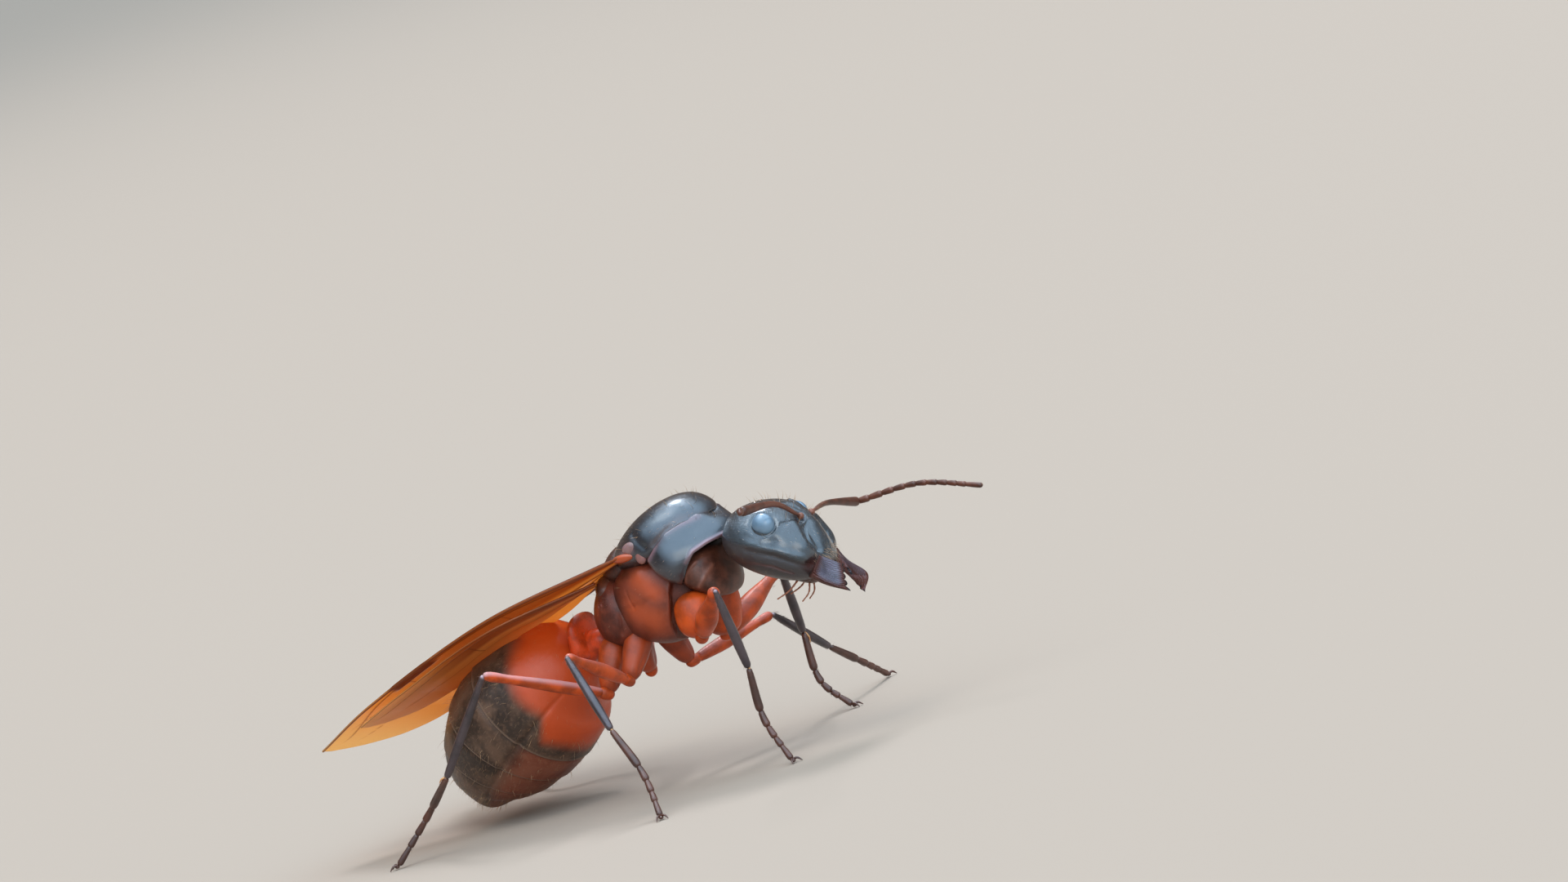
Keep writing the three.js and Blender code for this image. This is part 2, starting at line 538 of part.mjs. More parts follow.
// ---- Petiole and gaster ----
const gasterPath = curve(GASTER_PATH);
function gasterSlice(from, to, steps, flare, grow = 0) {
  const rings = [];
  const ends = [from === 0, to === 1];
  for (let k = 0; k <= steps; k++) {
    const f = from + ((to - from) * k) / steps;
    const bound = THREE.MathUtils.clamp(f, 0.004, 0.996);
    const round = Math.sin(Math.PI * bound ** 0.9) ** 0.5;
    const grown = 1 + (flare * k) / steps;
    const size = between(GASTER_STATIONS, bound).slice(0, 3).map((v) => v * round * grown + grow);
    rings.push(ring(gasterPath.getPointAt(bound), gasterPath.getTangentAt(bound), UP, size, 2, GASTER_SIDES));
  }
  const middle = (points) => points.reduce((a, b) => a.clone().add(b)).divideScalar(points.length);
  const start = ends[0] ? gasterPath.getPointAt(0) : middle(rings[0]);
  const end = ends[1] ? gasterPath.getPointAt(1) : middle(rings[steps]);
  return solid(skin(rings, start, end));
}
const gasterGroup = groupAt(GASTER_PATH[0]);
const gasterLength = gasterPath.getLength();
for (let i = 1; i < GASTER_CUTS.length; i++) {
  const half = GAP / 2 / gasterLength;
  const from = GASTER_CUTS[i - 1] + (i > 1 ? half : 0);
  const to = GASTER_CUTS[i] - (i < GASTER_CUTS.length - 1 ? half : 0);
  const slice = gasterSlice(from, to, i === 1 ? 7 : 3, GASTER_FLARE);
  const pivot = gasterPath.getPointAt(from).toArray();
  node(gasterGroup, `gaster_${i}`, carve(slice, ...wingsGrown), pivot, i === 1 ? "orange" : "gaster");
}
const petiole = fuse(
  solid(limb(PETIOLE.path, PETIOLE.radii, { sides: 12 })),
  solid(skin(
    [0.05, 0.3, 0.6, 0.85, 0.97].map((f) => {
      const at = vector(PETIOLE.scale[0]).lerp(vector(PETIOLE.scale[1]), f);
      const wide = PETIOLE.width * Math.sqrt(1 - (2 * f - 1) ** 4);
      const thick = THREE.MathUtils.lerp(...PETIOLE.thick, f);
      return ring(at, UP, new THREE.Vector3(1, 0, 0), [wide, thick, thick], 2.2, 16);
    }),
    vector(PETIOLE.scale[0]),
    vector(PETIOLE.scale[1]),
  )),
);
const gasterFront = gasterSlice(0, GASTER_CUTS[1], 7, 0, GAP);
const aroundWaist = [thoraxGrown, gasterFront, ...wingsGrown];
node(gasterGroup, "petiole", carve(petiole, ...aroundWaist), PETIOLE.path[1], "rust");

// ---- Legs ----
const floorBlock = new THREE.BoxGeometry(60, 60, 4).translate(0, 0, -2);
const floor = solid(floorBlock);
for (const [name, [hip, knee, shin, heel, toe]] of Object.entries(LEGS)) {
  const [pair, side] = name.split("_");
  const group = groupAt(hip);
  const top = mirrored(COXA_TOPS[pair], sides[side]);
  const coxa = (grow) => solid(limb([top, hip], COXA_RADII[pair], { sides: 10, steps: 3, grow }));
  const femur = (grow) => solid(limb([hip, knee], FEMUR_RADII[pair], { steps: 3, grow }));
  const tibia = (grow) => solid(limb([knee, shin], [SLENDER, SLENDER, SLENDER], { steps: 2, grow }));
  const tarsus = solid(limb([shin, heel, toe], FOOT_RADII, { sides: 6, steps: 7, joints: FOOT_JOINTS }));
  node(group, `coxa_${name}`, carve(coxa(0), thoraxGrown), top, "orange");
  node(group, `femur_${name}`, carve(femur(0), coxa(GAP), thoraxGrown), hip, "orange");
  node(group, `tibia_${name}`, carve(tibia(0), femur(GAP)), knee, "shin");
  node(group, `tarsus_${name}`, carve(tarsus, tibia(GAP), floor), shin, "foot");
}

ant.position.set(-CENTRE[0], -CENTRE[1], 0);

export default ant;
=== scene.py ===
# %% [markdown]
# # A winged carpenter ant queen, at life size
# An ant is a suit of hard plates. Each plate is a smooth bowed form with grooves, rims and pits pressed into
# it, and the limbs are chains of small tapered tubes. So nearly every piece here is one of two things: a row
# of ovals along a line, or a round tube along a curve. Both are grids of points worked out with numpy.
# The frame from the construction step says where the body is, and nothing moves away from it.

# %% Load the frame
import bpy
import numpy as np
from mathutils import Matrix


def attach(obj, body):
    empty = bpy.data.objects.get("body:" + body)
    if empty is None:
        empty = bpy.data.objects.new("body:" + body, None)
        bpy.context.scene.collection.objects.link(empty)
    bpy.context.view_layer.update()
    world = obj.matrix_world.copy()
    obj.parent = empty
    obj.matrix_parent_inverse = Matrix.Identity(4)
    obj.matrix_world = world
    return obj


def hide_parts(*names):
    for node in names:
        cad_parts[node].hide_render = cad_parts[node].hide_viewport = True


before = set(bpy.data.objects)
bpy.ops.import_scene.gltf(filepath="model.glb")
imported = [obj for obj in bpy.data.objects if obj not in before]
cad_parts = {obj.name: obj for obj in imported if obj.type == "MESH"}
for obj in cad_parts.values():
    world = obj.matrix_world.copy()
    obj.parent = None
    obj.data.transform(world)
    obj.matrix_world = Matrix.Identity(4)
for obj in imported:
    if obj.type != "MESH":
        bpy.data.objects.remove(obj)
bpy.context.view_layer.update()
print("nodes in the frame:", len(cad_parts))

# %% [markdown]
# ## Sizes
# Everything is written in millimetres on the ant's own axes: +X is the way she faces, +Y her left and +Z up,
# with the floor at zero. One function turns such points into metres about the middle of her outline, which
# is where the frame has its origin. The thorax and the head each have a frame of their own, turned in place.

# %% Units, frames and the body's stations
MM = 0.001
CENTRE = np.array([-0.91, 1.159, 0.0])
UP = np.array([0.0, 0.0, 1.0])
FORWARD = np.array([1.0, 0.0, 0.0])
SIDES = {"right": -1, "left": 1}


def turned(yaw=0.0, pitch=0.0, roll=0.0):
    """A turn as a matrix: first the roll about X, then the pitch that lifts the nose, then the yaw
    about Z."""
    y, p, r = np.radians([yaw, -pitch, roll])
    about_z = np.array([[np.cos(y), -np.sin(y), 0], [np.sin(y), np.cos(y), 0], [0, 0, 1]])
    about_y = np.array([[np.cos(p), 0, np.sin(p)], [0, 1, 0], [-np.sin(p), 0, np.cos(p)]])
    about_x = np.array([[1, 0, 0], [0, np.cos(r), -np.sin(r)], [0, np.sin(r), np.cos(r)]])
    return about_z @ about_y @ about_x


THORAX = {"at": np.array([1.05, 0, 5.74]), "turn": turned(pitch=10)}
HEAD = {"at": np.array([5.2, 0.16, 5.8]), "turn": turned(6.3, -31.9, -5.6)}
HEAD_LENGTH = 3.15


def placed(points, where):
    """Points of a turned part in the ant's own axes: turned, then moved to the part's place."""
    return np.asarray(points, float) @ where["turn"].T + where["at"]


def sided(points, side):
    """The same points on the right (-1) or left (+1) of the body."""
    return np.asarray(points, float) * [1, side, 1]


print("head at", HEAD["at"], "thorax at", THORAX["at"])

# %% [markdown]
# ## Smooth rules between a few sizes
# A body is measured at a few stations, and the form must flow through them. A cubic curve whose slope at each
# station follows its neighbours does that without waves. Paths through space use the same idea, with the
# points of the path set apart evenly by length.

# %% Curves through stations and points
def unit(vectors):
    """Each vector divided by its own length."""
    return vectors / np.maximum(np.linalg.norm(vectors, axis=-1, keepdims=True), 1e-12)


def between(stations, f):
    """Columns of the stations at the fractions f: cubic pieces, each slope taken from the stations around."""
    table = np.array(stations, float)
    slope = np.gradient(table[:, 1:], axis=0) / np.gradient(table[:, :1], axis=0)
    f = np.asarray(f, float)
    i = np.clip(np.searchsorted(table[:, 0], f, side="right") - 1, 0, len(table) - 2)
    step = (table[i + 1, 0] - table[i, 0])[..., None]
    t = (f - table[i, 0])[..., None] / step
    start = table[i, 1:] * (1 + t * t * (2 * t - 3)) + step * slope[i] * t * (1 - t) ** 2
    end = table[i + 1, 1:] * t * t * (3 - 2 * t) + step * slope[i + 1] * t * t * (t - 1)
    return start + end


def path(points, f, steps=60):
    """Places and directions at fractions f of the length of a smooth curve through the points.

    Between two points the curve is a cubic whose ends lean along the chords of their neighbours, weighed by
    the square root of each chord, and the fractions are then counted off along its real length."""
    p = np.array(points, float)
    p = np.vstack([2 * p[0] - p[1], p, 2 * p[-1] - p[-2]])
    gap = np.linalg.norm(np.diff(p, axis=0), axis=1)[:, None] ** 0.5
    p0, p1, p2, p3 = p[:-3], p[1:-2], p[2:-1], p[3:]
    d0, d1, d2 = gap[:-2], gap[1:-1], gap[2:]
    lean1 = ((p1 - p0) / d0 - (p2 - p0) / (d0 + d1) + (p2 - p1) / d1) * d1
    lean2 = ((p2 - p1) / d1 - (p3 - p1) / (d1 + d2) + (p3 - p2) / d2) * d1
    t = np.linspace(0, 1, steps, endpoint=False)[None, :, None]
    a, b, c, d = p1[:, None], p2[:, None], lean1[:, None], lean2[:, None]
    dense = a + c * t + (3 * (b - a) - 2 * c - d) * t**2 + (2 * (a - b) + c + d) * t**3
    dense = np.vstack([dense.reshape(-1, 3), p[-2]])
    reach = np.concatenate([[0], np.cumsum(np.linalg.norm(np.diff(dense, axis=0), axis=1))])
    look = 1e-3 * reach[-1]

    def at(distance):
        return np.stack([np.interp(distance, reach, dense[:, axis]) for axis in range(3)], axis=-1)

    want = np.asarray(f, float) * reach[-1]
    return at(want), unit(at(want + look) - at(want - look)), reach[-1]


print("a path through three points is", round(path([[0, 0, 0], [1, 1, 0], [2, 0, 0]], [0.5])[2], 3), "long")

# %% [markdown]
# ## Grids and closed shells
# A ring is an oval across the path. Its height above and below the middle may differ, and a power makes it
# squarer than an ellipse. Rings in a row are a grid of points, and a grid closed at both ends is a shell.
# A shell is kept as its points and its four- and three-cornered faces, with the faces pointing outwards.

# %% Rings, shells and pieces
def rings(place, along, wide, rise, drop, upright=UP, square=2.0, sides=48):
    """Ovals across a path: a point at angle a lies wide * cos(a) to the side and rise or drop * sin(a) up,
    with both taken to the power 2 / square."""
    side = unit(np.cross(np.broadcast_to(upright, along.shape), along))
    up = np.cross(along, side)
    a = 2 * np.pi * np.arange(sides) / sides
    c, s = np.cos(a), np.sin(a)
    across = np.sign(c) * np.abs(c) ** (2 / square)
    lift = np.sign(s) * np.abs(s) ** (2 / square)
    tall = np.where(s > 0, np.reshape(rise, (-1, 1)), np.reshape(drop, (-1, 1)))
    sideways = (np.reshape(wide, (-1, 1)) * across)[..., None] * side[:, None]
    return place[:, None] + sideways + (tall * lift)[..., None] * up[:, None]


def face_out(shell):
    """The shell with its faces turned so that it holds a positive volume."""
    points, quads, fans = shell
    halves = np.vstack([quads[:, :3], quads[:, [0, 2, 3]], fans])
    a, b, c = (points[halves[:, k]] for k in range(3))
    if np.einsum("ij,ij->", a, np.cross(b, c)) < 0:
        return points, quads[:, ::-1], fans[:, ::-1]
    return shell


def sleeve(rows, cols):
    """The four-cornered faces between the rings of a grid whose columns go round."""
    i, j = np.meshgrid(np.arange(rows - 1), np.arange(cols), indexing="ij")
    k = (j + 1) % cols
    return np.stack([i * cols + j, i * cols + k, (i + 1) * cols + k, (i + 1) * cols + j], -1).reshape(-1, 4)


def closed(grid, start=None, end=None):
    """A shell from a grid whose columns go round, shut at each end by a fan to one point."""
    rows, cols = grid.shape[:2]
    start = grid[0].mean(0) if start is None else start
    end = grid[-1].mean(0) if end is None else end
    points = np.vstack([grid.reshape(-1, 3), start, end])
    j = np.arange(cols)
    k = (j + 1) % cols
    first = np.stack([k, j, np.full(cols, rows * cols)], -1)
    last = (rows - 1) * cols + np.stack([j, k, np.full(cols, cols + 1)], -1)
    return face_out((points, sleeve(rows, cols), np.vstack([first, last])))


def sheet_of(grid):
    """A shell from flat rings, such as a wing's or a jaw's: each end is shut by joining the ring's upper
    side to its lower side, point to point."""
    rows, cols = grid.shape[:2]
    j = np.arange(1, cols // 2 - 1)
    strip = np.stack([j, j + 1, cols - j - 1, cols - j], -1)
    tips = np.array([[0, 1, cols - 1], [cols // 2 - 1, cols // 2, cols // 2 + 1]])
    last = (rows - 1) * cols
    quads = np.vstack([sleeve(rows, cols), strip[:, ::-1], strip + last])
    return face_out((grid.reshape(-1, 3), quads, np.vstack([tips[:, ::-1], tips + last])))


def joined(shells):
    """Several shells as one set of points and faces."""
    starts = np.cumsum([0] + [len(points) for points, _, _ in shells[:-1]])
    points = np.vstack([shell[0] for shell in shells])
    quads = np.vstack([shell[1] + start for shell, start in zip(shells, starts)])
    fans = np.vstack([shell[2] + start for shell, start in zip(shells, starts)])
    return points, quads, fans


def piece(name, shells, look, slot, nodes, uv=None, values=None):
    """One smooth object at the origin from shells in the ant's axes, with its finish and the nodes it
    stands for. uv gives each point a place on the OFBake map, and values is a named number per point."""
    points, quads, fans = joined(shells)
    corners = np.concatenate([quads.ravel(), fans.ravel()])
    starts = np.concatenate([4 * np.arange(len(quads)), 4 * len(quads) + 3 * np.arange(len(fans))])
    name = name.replace(" ", "_")
    mesh = bpy.data.meshes.new(name)
    mesh.vertices.add(len(points))
    mesh.vertices.foreach_set("co", ((points - CENTRE) * MM).astype(np.float32).ravel())
    mesh.loops.add(len(corners))
    mesh.loops.foreach_set("vertex_index", corners.astype(np.int32))
    mesh.polygons.add(len(starts))
    mesh.polygons.foreach_set("loop_start", starts.astype(np.int32))
    mesh.polygons.foreach_set("use_smooth", np.ones(len(starts), bool))
    mesh.update(calc_edges=True)
    if uv is not None:
        layer = mesh.uv_layers.new(name="OFBake")
        layer.data.foreach_set("uv", uv[corners].astype(np.float32).ravel())
    for label, numbers in (values or {}).items():
        attribute = mesh.attributes.new(label, "FLOAT", "POINT")
        attribute.data.foreach_set("value", np.asarray(numbers, np.float32))
    mesh.materials.append(look)
    thing = bpy.data.objects.new(name, mesh)
    bpy.context.scene.collection.objects.link(thing)
    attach(thing, "root")
    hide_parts(*nodes)
    print(f"{name}: {len(quads) * 2 + len(fans)} triangles")


# %% [markdown]
# ## Pressing grooves and ridges
# What makes a plate look real is its relief: seams, rims, pits and keels. Each is a short path over the
# surface with a width and a height. Every point of the plate near the path moves along the plate's own
# normal, by a bell curve of its distance, so grooves and ridges blend into the form.

# %% Relief
def soft_step(x, a, b):
    """0 below a, 1 above b, and a smooth climb between."""
    t = np.clip((x - a) / (b - a), 0, 1)
    return t * t * (3 - 2 * t)


def normals_of(grid):
    """Outward normals of a grid whose columns go round: the cross product of its two directions."""
    down = np.gradient(grid, axis=0)
    round_ = np.roll(grid, -1, axis=1) - np.roll(grid, 1, axis=1)
    normal = unit(np.cross(round_, down))
    outward = grid - grid.mean(axis=1, keepdims=True)
    return normal * np.sign(np.einsum("ijk,ijk->", normal, outward))


def distance_to(points, line):
    """Shortest distance from each point to a broken line: to each stretch, the foot point is clamped
    to the stretch's ends, and the nearest stretch counts."""
    line = np.atleast_2d(np.array(line, float))
    if len(line) == 1:
        return np.linalg.norm(points - line[0], axis=-1)
    a, b = line[:-1], line[1:]
    span = b - a
    t = np.clip(np.einsum("...sk,sk->...s", points[..., None, :] - a, span) / (span**2).sum(-1), 0, 1)
    return np.linalg.norm(points[..., None, :] - a - t[..., None] * span, axis=-1).min(-1)


def pressed(grid, marks):
    """The grid with marks alike on both sides. A mark is (line, width, height) or (point, radius, width,
    height) for a rim round a point. The push is height * exp(-(distance / width) squared)."""
    folded = np.abs(grid * [0, 1, 0]) + grid * [1, 0, 1]
    push = np.zeros(grid.shape[:2])
    for mark in marks:
        width, height = mark[-2:]
        away = distance_to(folded, mark[0]) - (mark[1] if len(mark) == 4 else 0)
        push += height * np.exp(-((away / width) ** 2))
    return grid + push[..., None] * normals_of(grid)


def tucked(grid, edge, depth, upper):
    """The grid pushed in on one side of an edge, where it dips under its neighbour. The edge is a height for
    each place along X, and upper tells which side goes in."""
    over = grid[..., 2] - np.interp(grid[..., 0], *np.transpose(edge))
    amount = soft_step(over if upper else -over, -0.02, 0.08)
    return grid - depth * amount[..., None] * normals_of(grid)


def bowed(plate, count=72, sides=120):
    """A plate's grid in its own frame: ovals along X, each the stations' size times the sine of its place
    to the power blunt, with the rings crowded towards the rounded ends."""
    angle = np.pi * np.arange(1, count) / count
    f = (1 - np.cos(angle)) / 2
    wide, rise, drop, lift = between(plate["stations"], f).T
    size = np.sin(angle) ** plate["blunt"]
    place = np.zeros((len(f), 3))
    place[:, 0] = plate["from"] + (plate["to"] - plate["from"]) * f
    place[:, 2] = plate["height"] + lift
    along = np.broadcast_to(FORWARD, place.shape)
    return rings(place, along, wide * size, rise * size, drop * size, square=plate["square"], sides=sides)


def shell_of(plate, grid, where):
    """A plate's grid in its turned place, closed to a point at each end."""
    back, front = between(plate["stations"], [0.0, 1.0])[:, 3]
    ends = [[plate["from"], 0, plate["height"] + back], [plate["to"], 0, plate["height"] + front]]
    return closed(placed(grid, where), *placed(ends, where))


print("relief and plates ready")

# %% [markdown]
# ## Tubes
# Legs, feelers, palps, claws and hairs are round tubes along a path. A tube's radius comes from a few
# stations along it, and both ends close as domes. A chain of short tubes end to end makes a jointed foot
# or feeler.

# %% Tubes and chains
OVERLAP = 0.12


def tube(points, radii, count=40, sides=28, span=(0, 1), upright=UP, dome=1.0):
    """Rings along a path between two fractions of it. The radius r flows through the stations, and near
    an end it is r * sqrt(1 - (1 - d / r)^2), with d the distance to the end, which makes a dome."""
    local = (1 - np.cos(np.pi * np.linspace(0.02, 0.98, count))) / 2
    f = span[0] + (span[1] - span[0]) * local
    place, along, length = path(points, f)
    radius = between(radii, local)[:, 0]
    reach = length * (span[1] - span[0]) * np.minimum(local, 1 - local) / (radius * dome)
    radius = radius * np.sqrt(1 - (1 - np.minimum(reach, 1)) ** 2)
    return rings(place, along, radius, radius, radius, upright=upright, sides=sides)


def steady_up(points):
    """A direction square to the line from end to end of a path, and level."""
    chord = np.array(points[-1], float) - np.array(points[0], float)
    return unit(np.array([-chord[1], chord[0], 0.01]))


def scaled(shape, size):
    """Stations of a radius, each its share of the size."""
    return [[f, size * share] for f, share in shape]


def chain(points, cuts, thickness, swell, count=16, sides=24):
    """One domed tube for each stretch of a path, with the same swelling along each. Each starts a little
    inside the one before."""
    shells = []
    for a, b in zip(cuts[:-1], cuts[1:]):
        radii = scaled(swell, between(thickness, [(a + b) / 2])[0, 0])
        start = max(a - OVERLAP * (b - a), 0)
        shells.append(closed(tube(points, radii, count, sides, (start, b), upright=steady_up(points))))
    return shells


def towards_end(grid, start, backwards=False):
    """A value on a tube's grid that climbs from 0 at a share of its length to 1 at its end, or its start."""
    f = np.linspace(0, 1, len(grid))
    climb = soft_step(f[::-1] if backwards else f, start, 1.0)
    return np.repeat(climb[:, None], grid.shape[1], axis=1)


print("tubes ready")

# %% [markdown]
# ## Hairs
# Ants carry two kinds of hair: a thin coat of short ones that lie flat, and a few long ones that stand. A
# hair is a spike of three sides. It sets off between the skin's normal and the lie of the coat, bends over
# with the square of the way along, and ends in a point. Each has a small patch of the map, at its root.

# %% Hairs
STEPS_UP = np.array([0.0, 0.4, 0.75])
PATCH = 0.003
STRAY = 0.16
BEND = 0.3


def hairs_on(grid, count, length, thick, lift, lie, seed, where=None):
    """Hairs rooted at random points of a grid, more where the cells or the values in where are larger. Lift
    is the normal's share in the first direction and lie is the way the coat lies."""
    rng = np.random.default_rng(seed)
    rows, cols = grid.shape[:2]
    down = np.linalg.norm(grid[1:] - grid[:-1], axis=-1)
    across = np.linalg.norm(np.roll(grid, -1, axis=1) - grid, axis=-1)[:-1]
    chance = (down * across * (1.0 if where is None else where[:-1])).ravel()
    i, j = np.divmod(rng.choice(chance.size, count, p=chance / chance.sum()), cols)
    k = (j + 1) % cols
    s, r = rng.random((2, count, 1))
    near = grid[i, j] * (1 - s) + grid[i + 1, j] * s
    far = grid[i, k] * (1 - s) + grid[i + 1, k] * s
    root = near * (1 - r) + far * r
    normal = normals_of(grid)[i, j]
    lie = np.asarray(lie, float)
    flat = unit(lie - (normal @ lie)[:, None] * normal)
    aim = unit(lift * normal + (1 - lift) * flat + STRAY * rng.normal(size=(count, 3)))
    reach = length * rng.uniform(0.55, 1.2, (count, 1))
    curl = BEND * (flat - aim)
    side = unit(np.cross(aim, normal + BEND * flat + 0.02))
    other = np.cross(aim, side)
    up = STEPS_UP[:, None]
    middle = root[:, None] + reach[:, None] * (aim[:, None] * up + curl[:, None] * up**2)
    a = 2 * np.pi * np.arange(3)[:, None] / 3
    spoke = np.cos(a) * side[:, None] + np.sin(a) * other[:, None]
    ring = middle[:, :, None] + (thick * (1 - up))[..., None] * spoke[:, None]
    tip = root + reach * (aim + curl)
    points = np.concatenate([ring.reshape(count, 9, 3), tip[:, None]], axis=1)
    first = 10 * np.arange(count)[:, None, None]
    quads = (first + sleeve(3, 3)).reshape(-1, 4)
    fans = (first + np.array([[6, 7, 9], [7, 8, 9], [8, 6, 9], [2, 1, 0]])).reshape(-1, 3)
    place = np.stack([(j + r[:, 0]) / cols, (i + s[:, 0]) / rows], -1)
    patch_across = np.append(np.tile([0.0, 0.5, 1.0], 3), 0.5)
    patch = np.stack([patch_across, np.append(np.repeat(STEPS_UP, 3), 1.0)], -1)
    return face_out((points.reshape(-1, 3), quads, fans)), (place[:, None] + PATCH * patch).reshape(-1, 2)


def coat(name, tufts, look, slot, nodes):
    """One piece from several sets of hairs."""
    piece(name, [shell for shell, _ in tufts], look, slot, nodes, uv=np.vstack([uv for _, uv in tufts]))

# %% [markdown]
# ## Effects that several finishes share
# Ant cuticle is not smooth. It carries a fine raised net, like leather seen close, and a fine grain, and its
# colour is cloudy. Each effect is a node group that gives out a number, a colour or a surface direction.
# Sizes inside are in millimetres, so object coordinates in metres are first made a thousand times larger.

# %% Node helpers and shared effects
def add(tree, kind, inputs=None, **settings):
    """A node with its settings made. An input given as a socket is linked, any other is written in."""
    node = tree.nodes.new("ShaderNode" + kind)
    for name, value in settings.items():
        setattr(node, name, value)
    for name, value in (inputs or {}).items():
        if isinstance(value, bpy.types.NodeSocket):
            tree.links.new(value, node.inputs[name])
        else:
            node.inputs[name].default_value = value
    return node


def effect(name, inputs, output):
    """An empty node group with number inputs and one output."""
    tree = bpy.data.node_groups.new(name, "ShaderNodeTree")
    for label, value in inputs.items():
        socket = tree.interface.new_socket(label, in_out="INPUT", socket_type="NodeSocketFloat")
        socket.default_value = value
    tree.interface.new_socket(output[0], in_out="OUTPUT", socket_type=output[1])
    return tree, tree.nodes.new("NodeGroupInput"), tree.nodes.new("NodeGroupOutput")


def in_mm(tree):
    """Object coordinates in millimetres."""
    metres = add(tree, "TexCoord").outputs["Object"]
    return add(tree, "VectorMath", {0: metres, "Scale": 1 / MM}, operation="SCALE").outputs[0]


def times(tree, a, b):
    """One number times another."""
    return add(tree, "Math", {0: a, 1: b}, operation="MULTIPLY").outputs[0]


def summed(tree, a, b):
    """One number plus another."""
    return add(tree, "Math", {0: a, 1: b}, operation="ADD").outputs[0]


def noise(tree, place, scale, detail, output="Fac"):
    """Soft noise at a place."""
    return add(tree, "TexNoise", {"Vector": place, "Scale": scale, "Detail": detail}).outputs[output]


def remap(tree, value, low, high, first=0.0, last=1.0, smooth=True):
    """A number carried from one range to another, and held at the ends."""
    ranges = {"Value": value, "From Min": low, "From Max": high, "To Min": first, "To Max": last}
    kind = "SMOOTHSTEP" if smooth else "LINEAR"
    return add(tree, "MapRange", ranges, interpolation_type=kind).outputs["Result"]


def make_net():
    """A net of raised lines round small cells, and a grain over it, as a bent surface direction."""
    sizes = {"Cells": 30, "Net": 0.001, "Grain": 0.001, "Dents": 0.0}
    tree, given, out = effect("Net and grain", sizes, ("Normal", "NodeSocketVector"))
    cells, net, grain, dents = (given.outputs[label] for label in sizes)
    place = in_mm(tree)
    shift = {0: noise(tree, place, 6.0, 1.0, "Color"), "Scale": 0.05}
    wavy = add(tree, "VectorMath", shift, operation="SCALE")
    moved = add(tree, "VectorMath", {0: place, 1: wavy.outputs[0]}, operation="ADD").outputs[0]
    cell = add(tree, "TexVoronoi", {"Vector": moved, "Scale": cells}, feature="DISTANCE_TO_EDGE")
    line = remap(tree, cell.outputs["Distance"], 0.0, 0.16, 1.0, 0.0)
    fine = noise(tree, place, times(tree, cells, 2.5), 2.0)
    small = summed(tree, times(tree, line, net), times(tree, fine, grain))
    height = summed(tree, small, times(tree, noise(tree, place, 3.5, 1.0), dents))
    bump = add(tree, "Bump", {"Strength": 1.0, "Distance": MM, "Height": height})
    tree.links.new(bump.outputs["Normal"], out.inputs["Normal"])
    return tree


def make_clouds():
    """Soft clouds between 0 and 1, with a few finer flecks in them."""
    tree, given, out = effect("Clouds", {"Per mm": 2.0, "Flecks": 0.3}, ("Value", "NodeSocketFloat"))
    place = in_mm(tree)
    size = given.outputs["Per mm"]
    soft = remap(tree, noise(tree, place, size, 3.0), 0.35, 0.65)
    flecks = remap(tree, noise(tree, place, times(tree, size, 9.0), 2.0), 0.5, 0.72, smooth=False)
    both = summed(tree, soft, times(tree, flecks, given.outputs["Flecks"]))
    tree.links.new(both, out.inputs["Value"])
    return tree


NET, CLOUDS = make_net(), make_clouds()
print("shared effects:", NET.name, "and", CLOUDS.name)

# %% [markdown]
# ## The finish of cuticle
# One recipe serves the whole body: a ground colour that clouds lighten and darken, up to two more colours
# where a piece carries the values "tone" and "glow", and a wax coat over the net. Thin cuticle lets light in,
# so the legs are softer inside than the head.

# %% The cuticle recipe
COLOURS_IN, COLOUR_OUT = (6, 7), 2
ROUGHER = 0.4


def mixed(tree, amount, *colours):
    """A blend of two colours by an amount."""
    node = add(tree, "Mix", {"Factor": amount}, data_type="RGBA")
    for socket, colour in zip(COLOURS_IN, colours):
        if isinstance(colour, bpy.types.NodeSocket):
            tree.links.new(colour, node.inputs[socket])
        else:
            node.inputs[socket].default_value = (*colour, 1)
    return node.outputs[COLOUR_OUT]


def value_of(tree, label):
    """A piece's own named value."""
    return add(tree, "Attribute", attribute_name=label).outputs["Fac"]


def netted(tree, sizes):
    """The surface direction of the shared net, with its four sizes."""
    group = add(tree, "Group", node_tree=NET)
    for label, size in zip(("Cells", "Net", "Grain", "Dents"), sizes):
        group.inputs[label].default_value = size
    return group.outputs["Normal"]


def empty_finish(name):
    """A material with nothing in it, and its tree."""
    look = bpy.data.materials.new(name)
    look.use_nodes = True
    look.node_tree.nodes.clear()
    return look, look.node_tree


